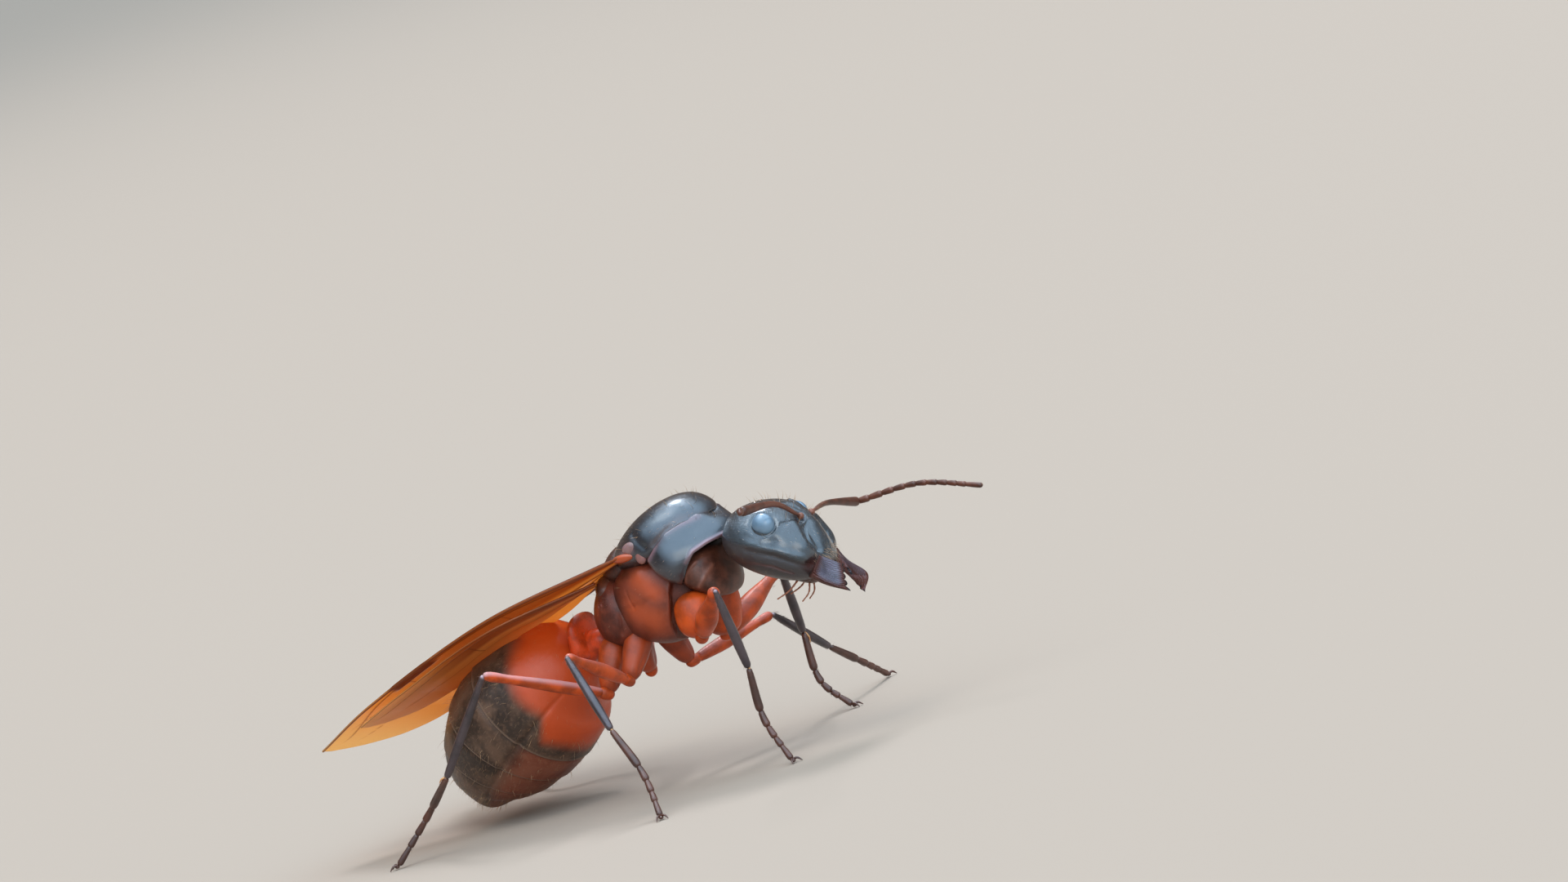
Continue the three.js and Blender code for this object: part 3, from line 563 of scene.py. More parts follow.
def cuticle(
    name, ground, tone=None, glow=None, rough=0.36, coat=0.25, net=(32, 0.001, 0.001, 0.0),
    cloud=(2.0, 0.3), contrast=0.35, inside=0.0, tint=(1, 1, 1), specular=0.5, wax=0.25, dull=0.0,
):
    """A finish for one kind of plate. Contrast is how far the clouds move the ground colour, and dull is how
    much thinner the wax is, and how much rougher the plate, where the tone is 1."""
    look, tree = empty_finish(name)
    clouds = add(tree, "Group", node_tree=CLOUDS)
    clouds.inputs["Per mm"].default_value, clouds.inputs["Flecks"].default_value = cloud
    ground = np.array(ground)
    colour = mixed(tree, clouds.outputs["Value"], ground * (1 - contrast), ground * (1 + contrast))
    # On some pieces these two values hold painted highlights, a painted reflection and painted shade, not the
    # cuticle's own colour.
    for label, shade in (("tone", tone), ("glow", glow)):
        if shade is not None:
            colour = mixed(tree, value_of(tree, label), colour, shade)
    sockets = {
        "Base Color": colour,
        "Roughness": rough,
        "Normal": netted(tree, net),
        "Coat Weight": coat,
        "Coat Roughness": wax,
        "Specular IOR Level": specular,
        "Specular Tint": (*tint, 1),
        "Subsurface Weight": inside,
        "Subsurface Radius": (1.0, 0.35, 0.12),
        "Subsurface Scale": 0.2 * MM,
    }
    shader = add(tree, "BsdfPrincipled", sockets)
    if dull:
        for socket, shift in (("Roughness", ROUGHER * dull), ("Coat Weight", -dull)):
            sums = {0: value_of(tree, "tone"), 1: shift, 2: sockets[socket]}
            changed = add(tree, "Math", sums, operation="MULTIPLY_ADD").outputs[0]
            tree.links.new(changed, shader.inputs[socket])
    add(tree, "OutputMaterial", {"Surface": shader.outputs["BSDF"]})
    return look


print("one recipe for every plate")

# %% [markdown]
# The head and the back are nearly black and glossy. The sides, the waist and the thighs are red to orange,
# the shins and feet dark, and the gaster brown.

# %% Finishes of the body
SHEEN = (0.68, 0.84, 1.0)
# The head's tone colour is a painted dark brown reflection and shade on its underside.
BLACK = cuticle(
    "black head cuticle", (0.011, 0.014, 0.016), (0.024, 0.010, 0.005), (0.12, 0.022, 0.008),
    rough=0.22, coat=0.7, net=(27, 0.0040, 0.0026, 0.022), tint=SHEEN, specular=1.0, wax=0.16, dull=0.5,
)
# Its glow colour is a painted lilac highlight, laid along the collar's ridge and rim and faintly on the side
# of the scutum behind the shoulder cap.
BACK = cuticle(
    "black thorax cuticle", (0.013, 0.012, 0.014), (0.055, 0.026, 0.020), (0.42, 0.20, 0.22),
    rough=0.27, coat=0.5, net=(36, 0.0010, 0.0014, 0.012), tint=SHEEN, specular=1.0, wax=0.2,
)
# On the propleura its glow colour is a painted pale highlight; on the scutellum and the feeler roots it is
# their own lighter colour.
BROWN = cuticle(
    "brown cuticle", (0.085, 0.026, 0.014), (0.030, 0.012, 0.008), (0.22, 0.075, 0.045),
    rough=0.38, coat=0.15, net=(38, 0.0010, 0.0014, 0.006), specular=0.32, contrast=0.45,
)
RUST = cuticle(
    "dark red cuticle", (0.11, 0.022, 0.011), (0.034, 0.014, 0.010), (0.46, 0.070, 0.016),
    rough=0.44, coat=0.08, net=(34, 0.0012, 0.0016, 0.012), inside=0.08, specular=0.3, contrast=0.4,
)
# Its glow colour is a painted pinkish-white highlight, used on the hips and the tops of the thighs.
ORANGE = cuticle(
    "orange leg cuticle", (0.39, 0.050, 0.006), (0.13, 0.024, 0.012), (0.56, 0.34, 0.35),
    rough=0.34, coat=0.08, net=(36, 0.0012, 0.0016, 0.012), inside=0.12, contrast=0.28, specular=0.26,
)
SHIN = cuticle(
    "dark shin cuticle", (0.034, 0.020, 0.020), (0.30, 0.20, 0.22), (0.12, 0.05, 0.04),
    rough=0.32, coat=0.35, net=(40, 0.0010, 0.0016, 0.004), tint=(0.85, 0.88, 1.0), specular=0.6,
)
FOOT = cuticle(
    "brown foot cuticle", (0.060, 0.018, 0.010), (0.02, 0.012, 0.012), (0.28, 0.09, 0.04),
    rough=0.38, coat=0.2, net=(40, 0.0010, 0.0014, 0.003),
)
BELLY = cuticle(
    "banded gaster cuticle", (0.066, 0.034, 0.020), (0.44, 0.050, 0.006), (0.15, 0.09, 0.06),
    rough=0.38, coat=0.08, net=(34, 0.0009, 0.0016, 0.014), cloud=(1.1, 0.5), contrast=0.6, inside=0.08,
    specular=0.32,
)
HAIR = cuticle(
    "golden hair", (0.36, 0.20, 0.10), rough=0.35, coat=0.2, net=(30, 0.0, 0.0, 0.0), contrast=0.3,
)
BRISTLE = cuticle(
    "brown bristle", (0.10, 0.045, 0.028), rough=0.35, coat=0.2, net=(30, 0.0, 0.0, 0.0), contrast=0.3,
)
print("finishes:", len(bpy.data.materials))

# %% [markdown]
# ## The head
# The head is one bowed plate, nearly square from above, with its jaws set in front and below. The middle
# of the face, the clypeus, is a low dome with a keel. A pit with a rim holds each feeler, and a sinuous
# ridge runs back from it. The eye stands in a groove of its own.

# %% Head capsule
def spots(grid, marks):
    """A value from 0 to 1 that is high near the given lines or points, alike on both sides."""
    folded = np.abs(grid * [0, 1, 0]) + grid * [1, 0, 1]
    value = np.zeros(grid.shape[:2])
    for line, width, strength in marks:
        value = np.maximum(value, strength * np.exp(-((distance_to(folded, line) / width) ** 2)))
    return value


def capped(value):
    """A grid's values in the order of a closed shell's points, with the two end points added."""
    return np.append(value.ravel(), [value[0].mean(), value[-1].mean()])


HEAD_PLATE = {
    "from": -HEAD_LENGTH / 2,
    "to": HEAD_LENGTH / 2,
    "height": 0,
    "blunt": 0.4,
    "square": 2.35,
    "stations": [
        [0, 1.3, 0.75, 0.85, 0],
        [0.18, 1.52, 1, 0.95, 0],
        [0.42, 1.58, 1.12, 0.98, 0],
        [0.66, 1.46, 0.95, 0.95, 0],
        [0.86, 1.28, 0.72, 0.72, -0.12],
        [1, 1.1, 0.5, 0.4, -0.2],
    ],
}
EYE_AT = [-0.22, 1.3, 0.63]
SOCKET = [0.5, 0.42, 1.0]
FACE_SEAM = [[0.72, 0, 0.9], [0.7, 0.3, 0.86], [0.78, 0.52, 0.72], [1.0, 0.72, 0.5], [1.32, 0.6, 0.24]]
CARINA = [[0.74, 0.2, 0.86], [0.45, 0.2, 1.0], [0.15, 0.34, 1.07], [-0.25, 0.5, 1.08]]
THROAT_LINE = [
    [-1.1, 0.8, -0.72], [-0.94, 1.07, -0.64], [-0.14, 1.42, -0.46], [0.37, 1.36, -0.42], [0.9, 1.1, -0.5],
]
HEAD_MARKS = [
    ([[1.15, 0, 0.5]], 0.4, 0.1),
    ([[0.95, 1.0, 0.3]], 0.3, 0.05),
    (SOCKET, 0.17, -0.2),
    (SOCKET, 0.21, 0.045, 0.035),
    ([[0.8, 0, 0.9], [0.5, 0, 1.04], [0.1, 0, 1.12]], 0.3, 0.13),
    (CARINA, 0.05, 0.06),
    ([[0.65, 0, 0.97], [-0.45, 0, 1.12]], 0.022, -0.018),
    (FACE_SEAM, 0.045, -0.06),
    ([[0.7, 0.46, 0.88], [1.0, 0.52, 0.56], [1.3, 0.56, 0.3]], 0.13, -0.07),
    ([[0.8, 0.66, 0.62], [1.1, 0.78, 0.35]], 0.1, -0.05),
    ([[0.8, 0, 0.84], [1.1, 0, 0.64], [1.5, 0, 0.1]], 0.035, 0.03),
    ([[0.5, 0.85, 0.8], [0.85, 1.0, 0.5], [1.2, 1.0, 0.15]], 0.2, 0.07),
    ([[-1.3, 1.0, -0.02], [-0.4, 1.5, 0.03], [0.37, 1.5, 0.08], [1.2, 1.1, 0.0]], 0.12, 0.06),
    ([[-1.3, 1.0, -0.2], [-0.4, 1.5, -0.16], [0.37, 1.5, -0.1], [1.2, 1.1, -0.2]], 0.08, -0.035),
    ([[1.42, 0, 0.02], [1.38, 0.35, 0.02], [1.25, 0.7, 0.02]], 0.05, 0.045),
    (EYE_AT, 0.36, 0.05, -0.05),
    ([[0.15, 1.42, 0.25]], 0.22, -0.06),
    (THROAT_LINE, 0.035, -0.04),
    ([[-1.3, 0, -0.7], [0.6, 0, -0.95]], 0.03, -0.03),
    ([[1.35, 0.95, -0.2]], 0.28, -0.12),
    ([[-1.35, 0, -0.2]], 0.5, -0.12),
]
HEAD_GLOWS = [
    (SOCKET, 0.14, 0.6),
    (THROAT_LINE, 0.06, 0.5),
    ([[1.35, 0.9, -0.15]], 0.22, 0.6),
    ([[1.5, 0, 0], [1.4, 0.6, 0]], 0.06, 0.5),
]


def painted_dark_underside(grid):
    """1 on the underside of the head, where a dark brown reflection and shade are painted, and 0 above a
    border that dips towards both ends.
    """
    border = np.interp(grid[..., 0], [-1.4, 0.37, 1.3], [-0.12, 0.1, -0.1])
    return soft_step(border - grid[..., 2], -0.03, 0.14)


head_grid = pressed(bowed(HEAD_PLATE, 170, 260), HEAD_MARKS)
values = {"tone": capped(painted_dark_underside(head_grid)), "glow": capped(spots(head_grid, HEAD_GLOWS))}
piece("head capsule", [shell_of(HEAD_PLATE, head_grid, HEAD)], BLACK, "black", ["head"], values=values)

# %% [markdown]
# ## Eyes
# Each eye is a dome of hundreds of lenses, so its finish has a much finer net than the head's. Three simple
# eyes, small clear beads, sit on top of the head, as winged ants have them for finding their way.

# %% Eyes and the three simple eyes
def ball(at, radii, count=40, sides=56):
    """Rings of an ellipsoid about a point, crowded towards the two poles on X."""
    angle = np.pi * np.arange(1, count) / count
    place = np.zeros((len(angle), 3)) + at
    place[:, 0] -= radii[0] * np.cos(angle)
    along = np.broadcast_to(FORWARD, place.shape)
    size = np.sin(angle)
    return rings(place, along, radii[1] * size, radii[2] * size, radii[2] * size, sides=sides)


# The eye's blue-grey ground is partly its own grey and partly a painted reflection of the sky, and its dark
# tone is a painted shade on the lower part of the eye.
EYE = cuticle(
    "lensed eye", (0.11, 0.18, 0.25), (0.012, 0.012, 0.014),
    rough=0.26, coat=0.9, net=(44, 0.0008, 0.0, 0.0), contrast=0.1, tint=SHEEN, specular=0.8,
)
OCELLUS = cuticle(
    "clear bead", (0.16, 0.07, 0.03), rough=0.12, coat=0.8, net=(30, 0.0, 0.0, 0.0), inside=0.3,
)
BEADS = [-0.7, 0, 0.97], [-0.95, 0.22, 0.87], [-0.95, -0.22, 0.87]
for name, side in SIDES.items():
    eye = ball(EYE_AT, [0.335, 0.25, 0.32], 60, 90)
    # Painted shade on the lower part of each eye.
    rim = soft_step(EYE_AT[2] - 0.22 - eye[..., 2], -0.1, 0.1)
    shell = closed(placed(sided(eye, side), HEAD))
    piece(f"lensed eye {name}", [shell], EYE, "eye", [f"eye_{name}"], values={"tone": capped(rim)})
beads = [closed(placed(ball(at, [0.09, 0.09, 0.06], 16, 24), HEAD)) for at in BEADS]
piece("simple eyes", beads, OCELLUS, "eye", ["head"])

# %% [markdown]
# ## Jaws
# A jaw is a flat blade, strong at its base, that widens to a slanted cutting edge with a few blunt teeth.
# Fine lines run from base to edge over its outer face. Its blade is a fan of straight lines from the base
# to the cutting edge, given a thickness that swells at the base and thins to nothing at the teeth.

# %% Jaws
JAWS = {
    "right": {
        "tip": [2.3, 0.45, -0.62], "heel": [1.93, 0.2, -0.02], "bulge": [0.06, 0.1, -0.03],
        "teeth": 4, "blunt": 1.5,
    },
    "left": {
        "tip": [2.28, 1.08, -0.92], "heel": [1.8, 0.78, -0.32], "bulge": [0.4, 0.2, 0.24],
        "teeth": 5, "blunt": 0.8,
    },
}
# Share of each jaw that is its own red-brown instead of the painted bluish reflection.
JAW_BROWN = {"right": 0.0, "left": 0.7}
JAW_ROOT = [1.38, 0.98, -0.45], [1.34, 0.6, 0.1]
JAW_THICK = 0.28
JAW_BOW = 0.16
TOOTH, LAST_TOOTH = 0.045, 0.09


def jaw(side, tip, heel, bulge, teeth, blunt, rows=120, sides=220):
    """A grid of flat rings. Going round a ring, u runs from the outer edge to the inner and back, while v
    runs from base to cutting edge: point = (1 - v) * base(u) + v * edge(u), bowed out, plus teeth. With it
    come u, v and a number that is 1 on the outer face and -1 on the inner."""
    a = 2 * np.pi * np.arange(sides) / sides
    u = ((1 - np.cos(a)) / 2)[None, :, None]
    v = np.linspace(0, 1, rows)[:, None, None]
    outer, inner, tip, heel = np.array([*JAW_ROOT, tip, heel], float)
    flat = (1 - v) * (outer + (inner - outer) * u) + v * (tip + (heel - tip) * u)
    flat = flat + np.sin(np.pi * v) * (1 - u) * np.array(bulge)
    through = unit(np.cross(tip - outer, heel - outer))
    ahead = np.cross(through, unit(heel - tip))
    ahead = ahead * np.sign(ahead @ (tip + heel - outer - inner))
    saw = 1 - np.abs(2 * ((u * teeth + 0.5) % 1) - 1)
    saw = np.sin(np.pi / 2 * saw) ** (1 / blunt) * (TOOTH * blunt + LAST_TOOTH * (1 - u) ** 5)
    flat = flat + saw * v**12 * ahead + 0.4 * saw * (1 - u) ** 5 * v**8 * unit(tip - heel)
    thick = JAW_THICK * (1 - 0.55 * v) * np.sqrt(np.clip(1 - v**6, 0.0009, 1)) * (1 - 0.2 * u)
    s = np.sin(a)[None, :, None]
    z = thick * np.sign(s) * np.abs(s) ** 0.75
    grid = flat + (z + JAW_BOW * np.sin(np.pi * v) * np.sin(np.pi * u)) * through
    around = (u, v, s * np.sign(through[1]))
    return sided(grid, side), *(np.broadcast_to(value[..., 0], (rows, sides)) for value in around)


print("jaws:", ", ".join(JAWS))

# %% [markdown]
# A jaw is lined from base to edge. Its outer face carries a painted bluish reflection of the sky, and its
# rims and its inner face are red. The left jaw is browner all over, with little of that painted reflection.

# %% Finish of the jaws, and both of them
def streaked(look, label, count, depth):
    """The same finish with fine lines pressed along a named value."""
    lined = look.copy()
    lined.name = look.name + " with lines"
    tree = lined.node_tree
    shader = next(node for node in tree.nodes if node.type == "BSDF_PRINCIPLED")
    before = shader.inputs["Normal"].links[0].from_socket
    waver = noise(tree, in_mm(tree), 5.0, 2.0)
    across = summed(tree, value_of(tree, label), times(tree, waver, 0.12))
    wave = add(tree, "Math", {0: times(tree, across, 2 * np.pi * count)}, operation="SINE")
    relief = {"Strength": 1.0, "Distance": depth * MM, "Height": wave.outputs[0], "Normal": before}
    tree.links.new(add(tree, "Bump", relief).outputs["Normal"], shader.inputs["Normal"])
    return lined


# The bluish ground is a painted reflection of the sky on the jaw's outer face; the tone is its own red-brown
# and the glow its dark tip.
JAW = cuticle(
    "jaw cuticle", (0.095, 0.085, 0.115), (0.075, 0.018, 0.009), (0.010, 0.008, 0.008),
    rough=0.28, coat=0.4, net=(30, 0.0010, 0.0014, 0.006), tint=(0.85, 0.85, 1.0), inside=0.05, dull=0.36,
)
JAW_LINED = streaked(JAW, "across", 13, 0.016)
for name, side in SIDES.items():
    grid, u, v, outside = jaw(side, **JAWS[name])
    rims = soft_step(0.16 - v, -0.06, 0.16) + soft_step(0.2 - u, 0, 0.2) + soft_step(v, 0.75, 0.95)
    brown = np.clip(rims + soft_step(-outside, -0.2, 0.2) + JAW_BROWN[name], 0, 1)
    values = {"tone": brown.ravel(), "glow": soft_step(v, 0.93, 1.0).ravel(), "across": u.ravel()}
    piece(
        f"jaw {name}", [sheet_of(placed(grid, HEAD))], JAW_LINED, "brown", [f"mandible_{name}"],
        values=values,
    )

# %% [markdown]
# ## Mouthparts
# Under the jaws lie the upper lip, the folded tongue case and two pairs of palps. A palp is a chain of
# short joints.

# %% Mouthparts
PALPS = [
    ([[0.85, 0.34, -0.8], [0.72, 0.46, -1.15], [0.44, 0.52, -1.5]], 6, [[0, 0.032], [1, 0.02]]),
    ([[1.12, 0.15, -0.8], [1.2, 0.22, -1.1], [1.1, 0.28, -1.4]], 4, [[0, 0.03], [1, 0.018]]),
]
PALP_SWELL = [[0, 0.8], [0.3, 0.95], [0.8, 1.05], [1, 0.95]]
LIP = [1.28, 0, -0.3], [0.2, 0.5, 0.3]
TONGUE_CASE = [0.95, 0, -0.66], [0.42, 0.4, 0.24]
mouth = [closed(placed(ball(at, radii), HEAD)) for at, radii in (LIP, TONGUE_CASE)]
palps = []
for side in SIDES.values():
    mouth.append(closed(placed(ball([0.85, side * 0.32, -0.68], [0.36, 0.18, 0.17]), HEAD)))
    for line, joints, size in PALPS:
        points = placed(sided(line, side), HEAD)
        palps += chain(points, np.linspace(0, 1, joints + 1), size, PALP_SWELL, 12, 14)
piece("lip and tongue case", mouth, FOOT, "foot", ["mouthparts"])
pale = {"glow": np.ones(sum(len(shell[0]) for shell in palps))}
piece("palps", palps, FOOT, "foot", ["mouthparts"], values=pale)

# %% [markdown]
# ## Feelers
# A feeler has a long first joint, the scape, on a ball in its pit. After the elbow come eleven short
# joints, each a little wider at its far end.

# %% Feelers
FEELERS = {
    "right": {
        "elbow": [6.22, -3, 7.3], "whip": [[7.3, -4.72, 7.54], [8.42, -6.5, 7.7]], "arch": [0.36, 0.3],
    },
    "left": {
        "elbow": [5.87, 3.6, 5.93], "whip": [[7.9, 3.7, 5.98], [10.08, 3.4, 5.5]], "arch": [0.33, 0.15],
    },
}
SCAPE_ROOT = [0.5, 0.42, 0.98]
SCAPE_RADII = [[0, 0.06], [0.05, 0.045], [0.12, 0.06], [0.5, 0.09], [0.85, 0.13], [1, 0.14]]
RED_GLOW = 0.6
WHIP_CUTS = [0, 0.1, 0.2, 0.29, 0.38, 0.465, 0.55, 0.635, 0.715, 0.795, 0.87, 1]
WHIP_RADII = [[0, 0.1], [0.4, 0.085], [1, 0.075]]
WHIP_SWELL = [[0, 0.76], [0.25, 0.92], [0.8, 1.05], [1, 0.92]]
feeler_lines = {}
for name, side in SIDES.items():
    root = placed(sided(SCAPE_ROOT, side), HEAD)
    elbow = np.array(FEELERS[name]["elbow"])
    share, lift = FEELERS[name]["arch"]
    line = [root, root + share * (elbow - root) + lift * UP, elbow]
    socket_ball = closed(ball(root, [0.1, 0.1, 0.1], 20, 28))
    scape = tube(line, SCAPE_RADII, 70, 32, upright=steady_up(line))
    red = np.append(np.ones(len(socket_ball[0])), capped(towards_end(scape, 0.9, backwards=True)))
    values = {"glow": RED_GLOW * red}
    piece(
        f"feeler stem {name}", [socket_ball, closed(scape)], BROWN, "brown", [f"scape_{name}"],
        values=values,
    )
    whip = [elbow, *FEELERS[name]["whip"]]
    shells = chain(whip, WHIP_CUTS, WHIP_RADII, WHIP_SWELL)
    piece(f"whip {name}", shells, BROWN, "brown", [f"flagellum_{name}"])
    feeler_lines[name] = (line, whip)

# %% [markdown]
# ## The middle body
# The middle body of a queen is bulky, since it holds the flight muscles. Its back is one great plate with a
# small shield behind. A collar goes round its front, and side plates hold the legs. Each plate is bowed and
# dips under its neighbour, which leaves the seam between them.

# %% Plates of the middle body
PLATES = {
    "mesoscutum": {
        "from": -0.8, "to": 2.6, "height": 0.85, "blunt": 0.62, "square": 2.3,
        "stations": [
            [0, 1.25, 0.65, 0.5, 0], [0.45, 1.5, 1, 0.5, 0], [0.8, 1.35, 1.1, 0.5, 0],
            [1, 1.1, 0.9, 0.5, 0],
        ],
    },
    "scutellum": {
        "from": -1.5, "to": -0.3, "height": 0.72, "blunt": 0.6, "square": 2.2,
        "stations": [[0, 0.7, 0.3, 0.4, 0], [0.6, 0.85, 0.6, 0.5, 0], [1, 0.85, 0.7, 0.5, 0]],
    },
    "pronotum": {
        "from": 0.1, "to": 2.95, "height": 0.2, "blunt": 0.55, "square": 2.2,
        "stations": [
            [0, 1.5, 0.9, 0.5, 0.35], [0.45, 1.72, 1.2, 0.95, 0], [0.7, 1.45, 1.05, 0.5, 0],
            [1, 1.0, 0.75, 0.15, 0.1],
        ],
    },
    "mesopleura": {
        "from": -1.45, "to": 1.75, "height": -0.5, "blunt": 0.55, "square": 2.7,
        "stations": [[0, 1.3, 1.25, 1.1, 0], [0.5, 1.5, 1.35, 1.42, 0], [1, 1.1, 0.9, 0.9, 0]],
    },
    "propodeum": {
        "from": -2.35, "to": -0.7, "height": -0.5, "blunt": 0.5, "square": 2.3,
        "stations": [[0, 0.95, 0.8, 0.8, -0.1], [0.6, 1.25, 1.25, 1, 0], [1, 1.3, 1.3, 1.1, 0]],
    },
    "propleura": {
        "from": 1.1, "to": 2.3, "height": -0.3, "blunt": 0.38, "square": 2.6,
        "stations": [
            [0, 1.15, 0.6, 0.45, 0], [0.5, 1.2, 0.6, 0.85, 0], [0.8, 1.05, 0.55, 1.12, 0],
            [1, 0.8, 0.5, 1.05, 0],
        ],
    },
}
COLLAR_RIDGE = [
    [2.74, 0, 0.74], [2.62, 0.38, 0.84], [2.4, 0.6, 1.0], [2.1, 0.9, 1.06], [1.72, 1.24, 1.0],
    [1.25, 1.5, 0.76], [1.0, 1.55, 0.6],
]
COLLAR_RIM = [[2.9, 0.5, 0.3], [2.59, 0.95, 0.31], [2.22, 1.29, 0.25], [1.93, 1.41, 0.06], [1.7, 1.47, -0.12]]
BACK_SEAM = [
    [-1, 0.2], [0.7, 0.45], [0.95, 0.6], [1.25, 0.8], [1.72, 1.04], [2.1, 1.1], [2.42, 1.04],
    [2.58, 0.96], [2.7, 1.5], [3, 1.6],
]
COLLAR_EDGE = [
    [0, 1.2], [0.8, 0.95], [0.87, 0.58], [0.98, 0.14], [1.14, -0.25], [1.4, -0.5], [1.7, -0.3],
    [1.93, -0.08], [2.22, 0.16], [2.59, 0.23], [3, 0.22],
]
BREAST_EDGE = [
    [-2, -3], [0.2, -2.2], [0.25, -1.72], [0.6, -1.1], [0.97, -0.38], [1.15, 0], [1.3, 0.4], [2, 1.5],
]
UNDER_BACK = [*BACK_SEAM[:6], [2.3, 1.3], [2.36, 1.8], [3, 1.9]]
PLATE_EDGES = {
    "mesoscutum": [(BACK_SEAM, 0.07, False)],
    "pronotum": [(UNDER_BACK, 0.12, True), (COLLAR_EDGE, 0.4, False)],
    "mesopleura": [(BREAST_EDGE, 0.4, False)],
}
print("plates:", ", ".join(PLATES))

# %% [markdown]
# Each plate then has its relief, the places where the second and third colours of its finish show, some of
# them painted highlights, and the finish itself.

# %% Relief and colours of the plates
NECK_RIDGES = [
    [[2.25, 0.55, 0.15], [2.1, 1.0, 0.0], [1.6, 1.2, -0.25], [1.3, 1.15, -0.6]],
    [[2.25, 0.7, -0.35], [2.1, 1.0, -0.5], [1.7, 1.15, -0.8]],
]
PLATE_MARKS = {
    "mesoscutum": [
        ([[-0.5, 0.62, 1.6], [0.9, 0.78, 1.75]], 0.025, -0.02),
        ([[1.2, 0, 1.95], [2.45, 0, 1.5]], 0.022, -0.016),
        (
            [[2.6, 0.3, 0.95], [2.4, 0.6, 1.1], [2.1, 0.9, 1.18], [1.72, 1.24, 1.12], [1.25, 1.5, 0.88]],
            0.07, -0.03,
        ),
        ([[0.66, 1.29, 1.41], [0.94, 1.49, 0.96]], 0.12, -0.04),
        ([[-0.6, 1.2, 1.1], [0.4, 1.5, 1.05]], 0.16, 0.02),
    ],
    "scutellum": [([[-1.3, 0, 1.0], [-0.4, 0, 1.35]], 0.05, 0.02)],
    "pronotum": [
        ([[1.6, 1.2, 1.0], [1.9, 1.0, 1.05], [2.2, 0.7, 1.05], [2.4, 0.5, 1.0]], 0.3, 0.13),
        (COLLAR_RIDGE[2:], 0.09, 0.04),
        (COLLAR_RIM, 0.05, 0.03),
        ([[1.0, 1.58, 0.6], [1.12, 1.6, 0.25], [1.3, 1.55, -0.1]], 0.12, 0.03),
        ([[2.2, 0.9, 0.6]], 0.4, -0.04),
    ],
    "mesopleura": [
        ([[0.9, 1.3, -0.38], [0.52, 1.15, -1.08], [0.15, 0.95, -1.6]], 0.07, 0.03),
        ([[1.3, 1.3, -0.35], [0.5, 1.48, -0.45], [-0.4, 1.45, -0.4], [-1.0, 1.25, -0.3]], 0.04, -0.05),
        ([[-0.35, 1.4, 0.4], [-0.35, 1.45, -0.4]], 0.04, -0.04),
        ([[0.3, 1.3, 0.35]], 0.25, 0.06),
    ],
    "propodeum": [
        ([-1.55, 1.08, 0.0], 0.09, 0.03, 0.03),
        ([-1.55, 1.08, 0.0], 0.05, -0.05),
        ([[-0.9, 1.25, -0.2], [-1.3, 1.15, -1.0]], 0.05, -0.05),
    ],
    "propleura": [
        (NECK_RIDGES[0], 0.05, 0.04),
        (NECK_RIDGES[1], 0.05, 0.03),
        ([[2.2, 0, -0.6], [1.5, 0, -0.85]], 0.03, -0.04),
    ],
}
# On the mesoscutum and the pronotum the glow is a painted lilac highlight, and along the neck ridges of the
# propleura a painted pale highlight; on the other plates it is a lighter colour of their own.
PLATE_COLOUR_AND_HIGHLIGHT = {
    "mesoscutum": [([[-0.7, 1.15, 1.05], [0.5, 1.42, 1.05]], 0.1, 0.35)],
    "scutellum": [([[-1.4, 0.5, 0.8], [-1.4, 0, 0.9]], 0.15, 0.5)],
    "pronotum": [
        (COLLAR_RIDGE[2:], 0.1, 0.75),
        (COLLAR_RIM[:4], 0.06, 0.6),
    ],
    "mesopleura": [
        ([[0.25, 1.4, 0.2], [0.5, 1.4, -0.3]], 0.34, 0.7),
        ([[-0.3, 1.3, -0.5], [0.1, 1.3, -1.0]], 0.45, 0.75),
    ],
    "propodeum": [([[-1.7, 0.95, -0.1], [-1.9, 0.7, -0.5]], 0.2, 0.4)],
    # Painted pale highlights along the two neck ridges.
    "propleura": [(NECK_RIDGES[0], 0.07, 0.9), (NECK_RIDGES[1], 0.06, 0.7)],
}
PLATE_TONE = {
    "mesoscutum": [
        ([[2.6, 0.3, 0.95], [2.1, 0.9, 1.2], [1.72, 1.24, 1.12], [1.25, 1.5, 0.88]], 0.13, 0.9),
        ([[-0.6, 1.2, 1.2], [0.2, 1.4, 1.1]], 0.3, 0.7),
    ],
    "scutellum": [([[-0.8, 0, 1.3]], 0.5, 0.8)],
    "pronotum": [([[0.9, 1.55, 0.2], [1.3, 1.45, -0.4]], 0.35, 0.7), ([[2.6, 0.8, -0.1]], 0.3, 0.4)],
    "mesopleura": [
        ([[-1.0, 1.2, 0.2], [-1.2, 1.2, -0.6]], 0.3, 0.6),
        ([[0.15, 1.4, 0.3], [0.3, 1.4, -0.6], [0.0, 1.3, -1.0]], 0.14, 0.6),
    ],
    "propodeum": [([[-1.2, 0, 0.7]], 0.7, 0.7)],
    "propleura": [([[1.5, 0.8, -0.8]], 0.4, 0.6)],
}
PLATE_LOOKS = {
    "mesoscutum": (BACK, "black"), "scutellum": (BROWN, "brown"), "pronotum": (BACK, "black"),
    "mesopleura": (RUST, "rust"), "propodeum": (RUST, "rust"), "propleura": (BROWN, "brown"),
}
plate_grids = {}
for name, plate in PLATES.items():
    grid = pressed(bowed(plate, 150, 230), PLATE_MARKS[name])
    for edge, depth, upper in PLATE_EDGES.get(name, []):
        grid = tucked(grid, edge, depth, upper)
    plate_grids[name] = grid
    values = {"tone": capped(spots(grid, PLATE_TONE[name])), "glow": capped(spots(grid, PLATE_COLOUR_AND_HIGHLIGHT[name]))}
    piece(f"{name} plate", [shell_of(plate, grid, THORAX)], *PLATE_LOOKS[name], [name], values=values)

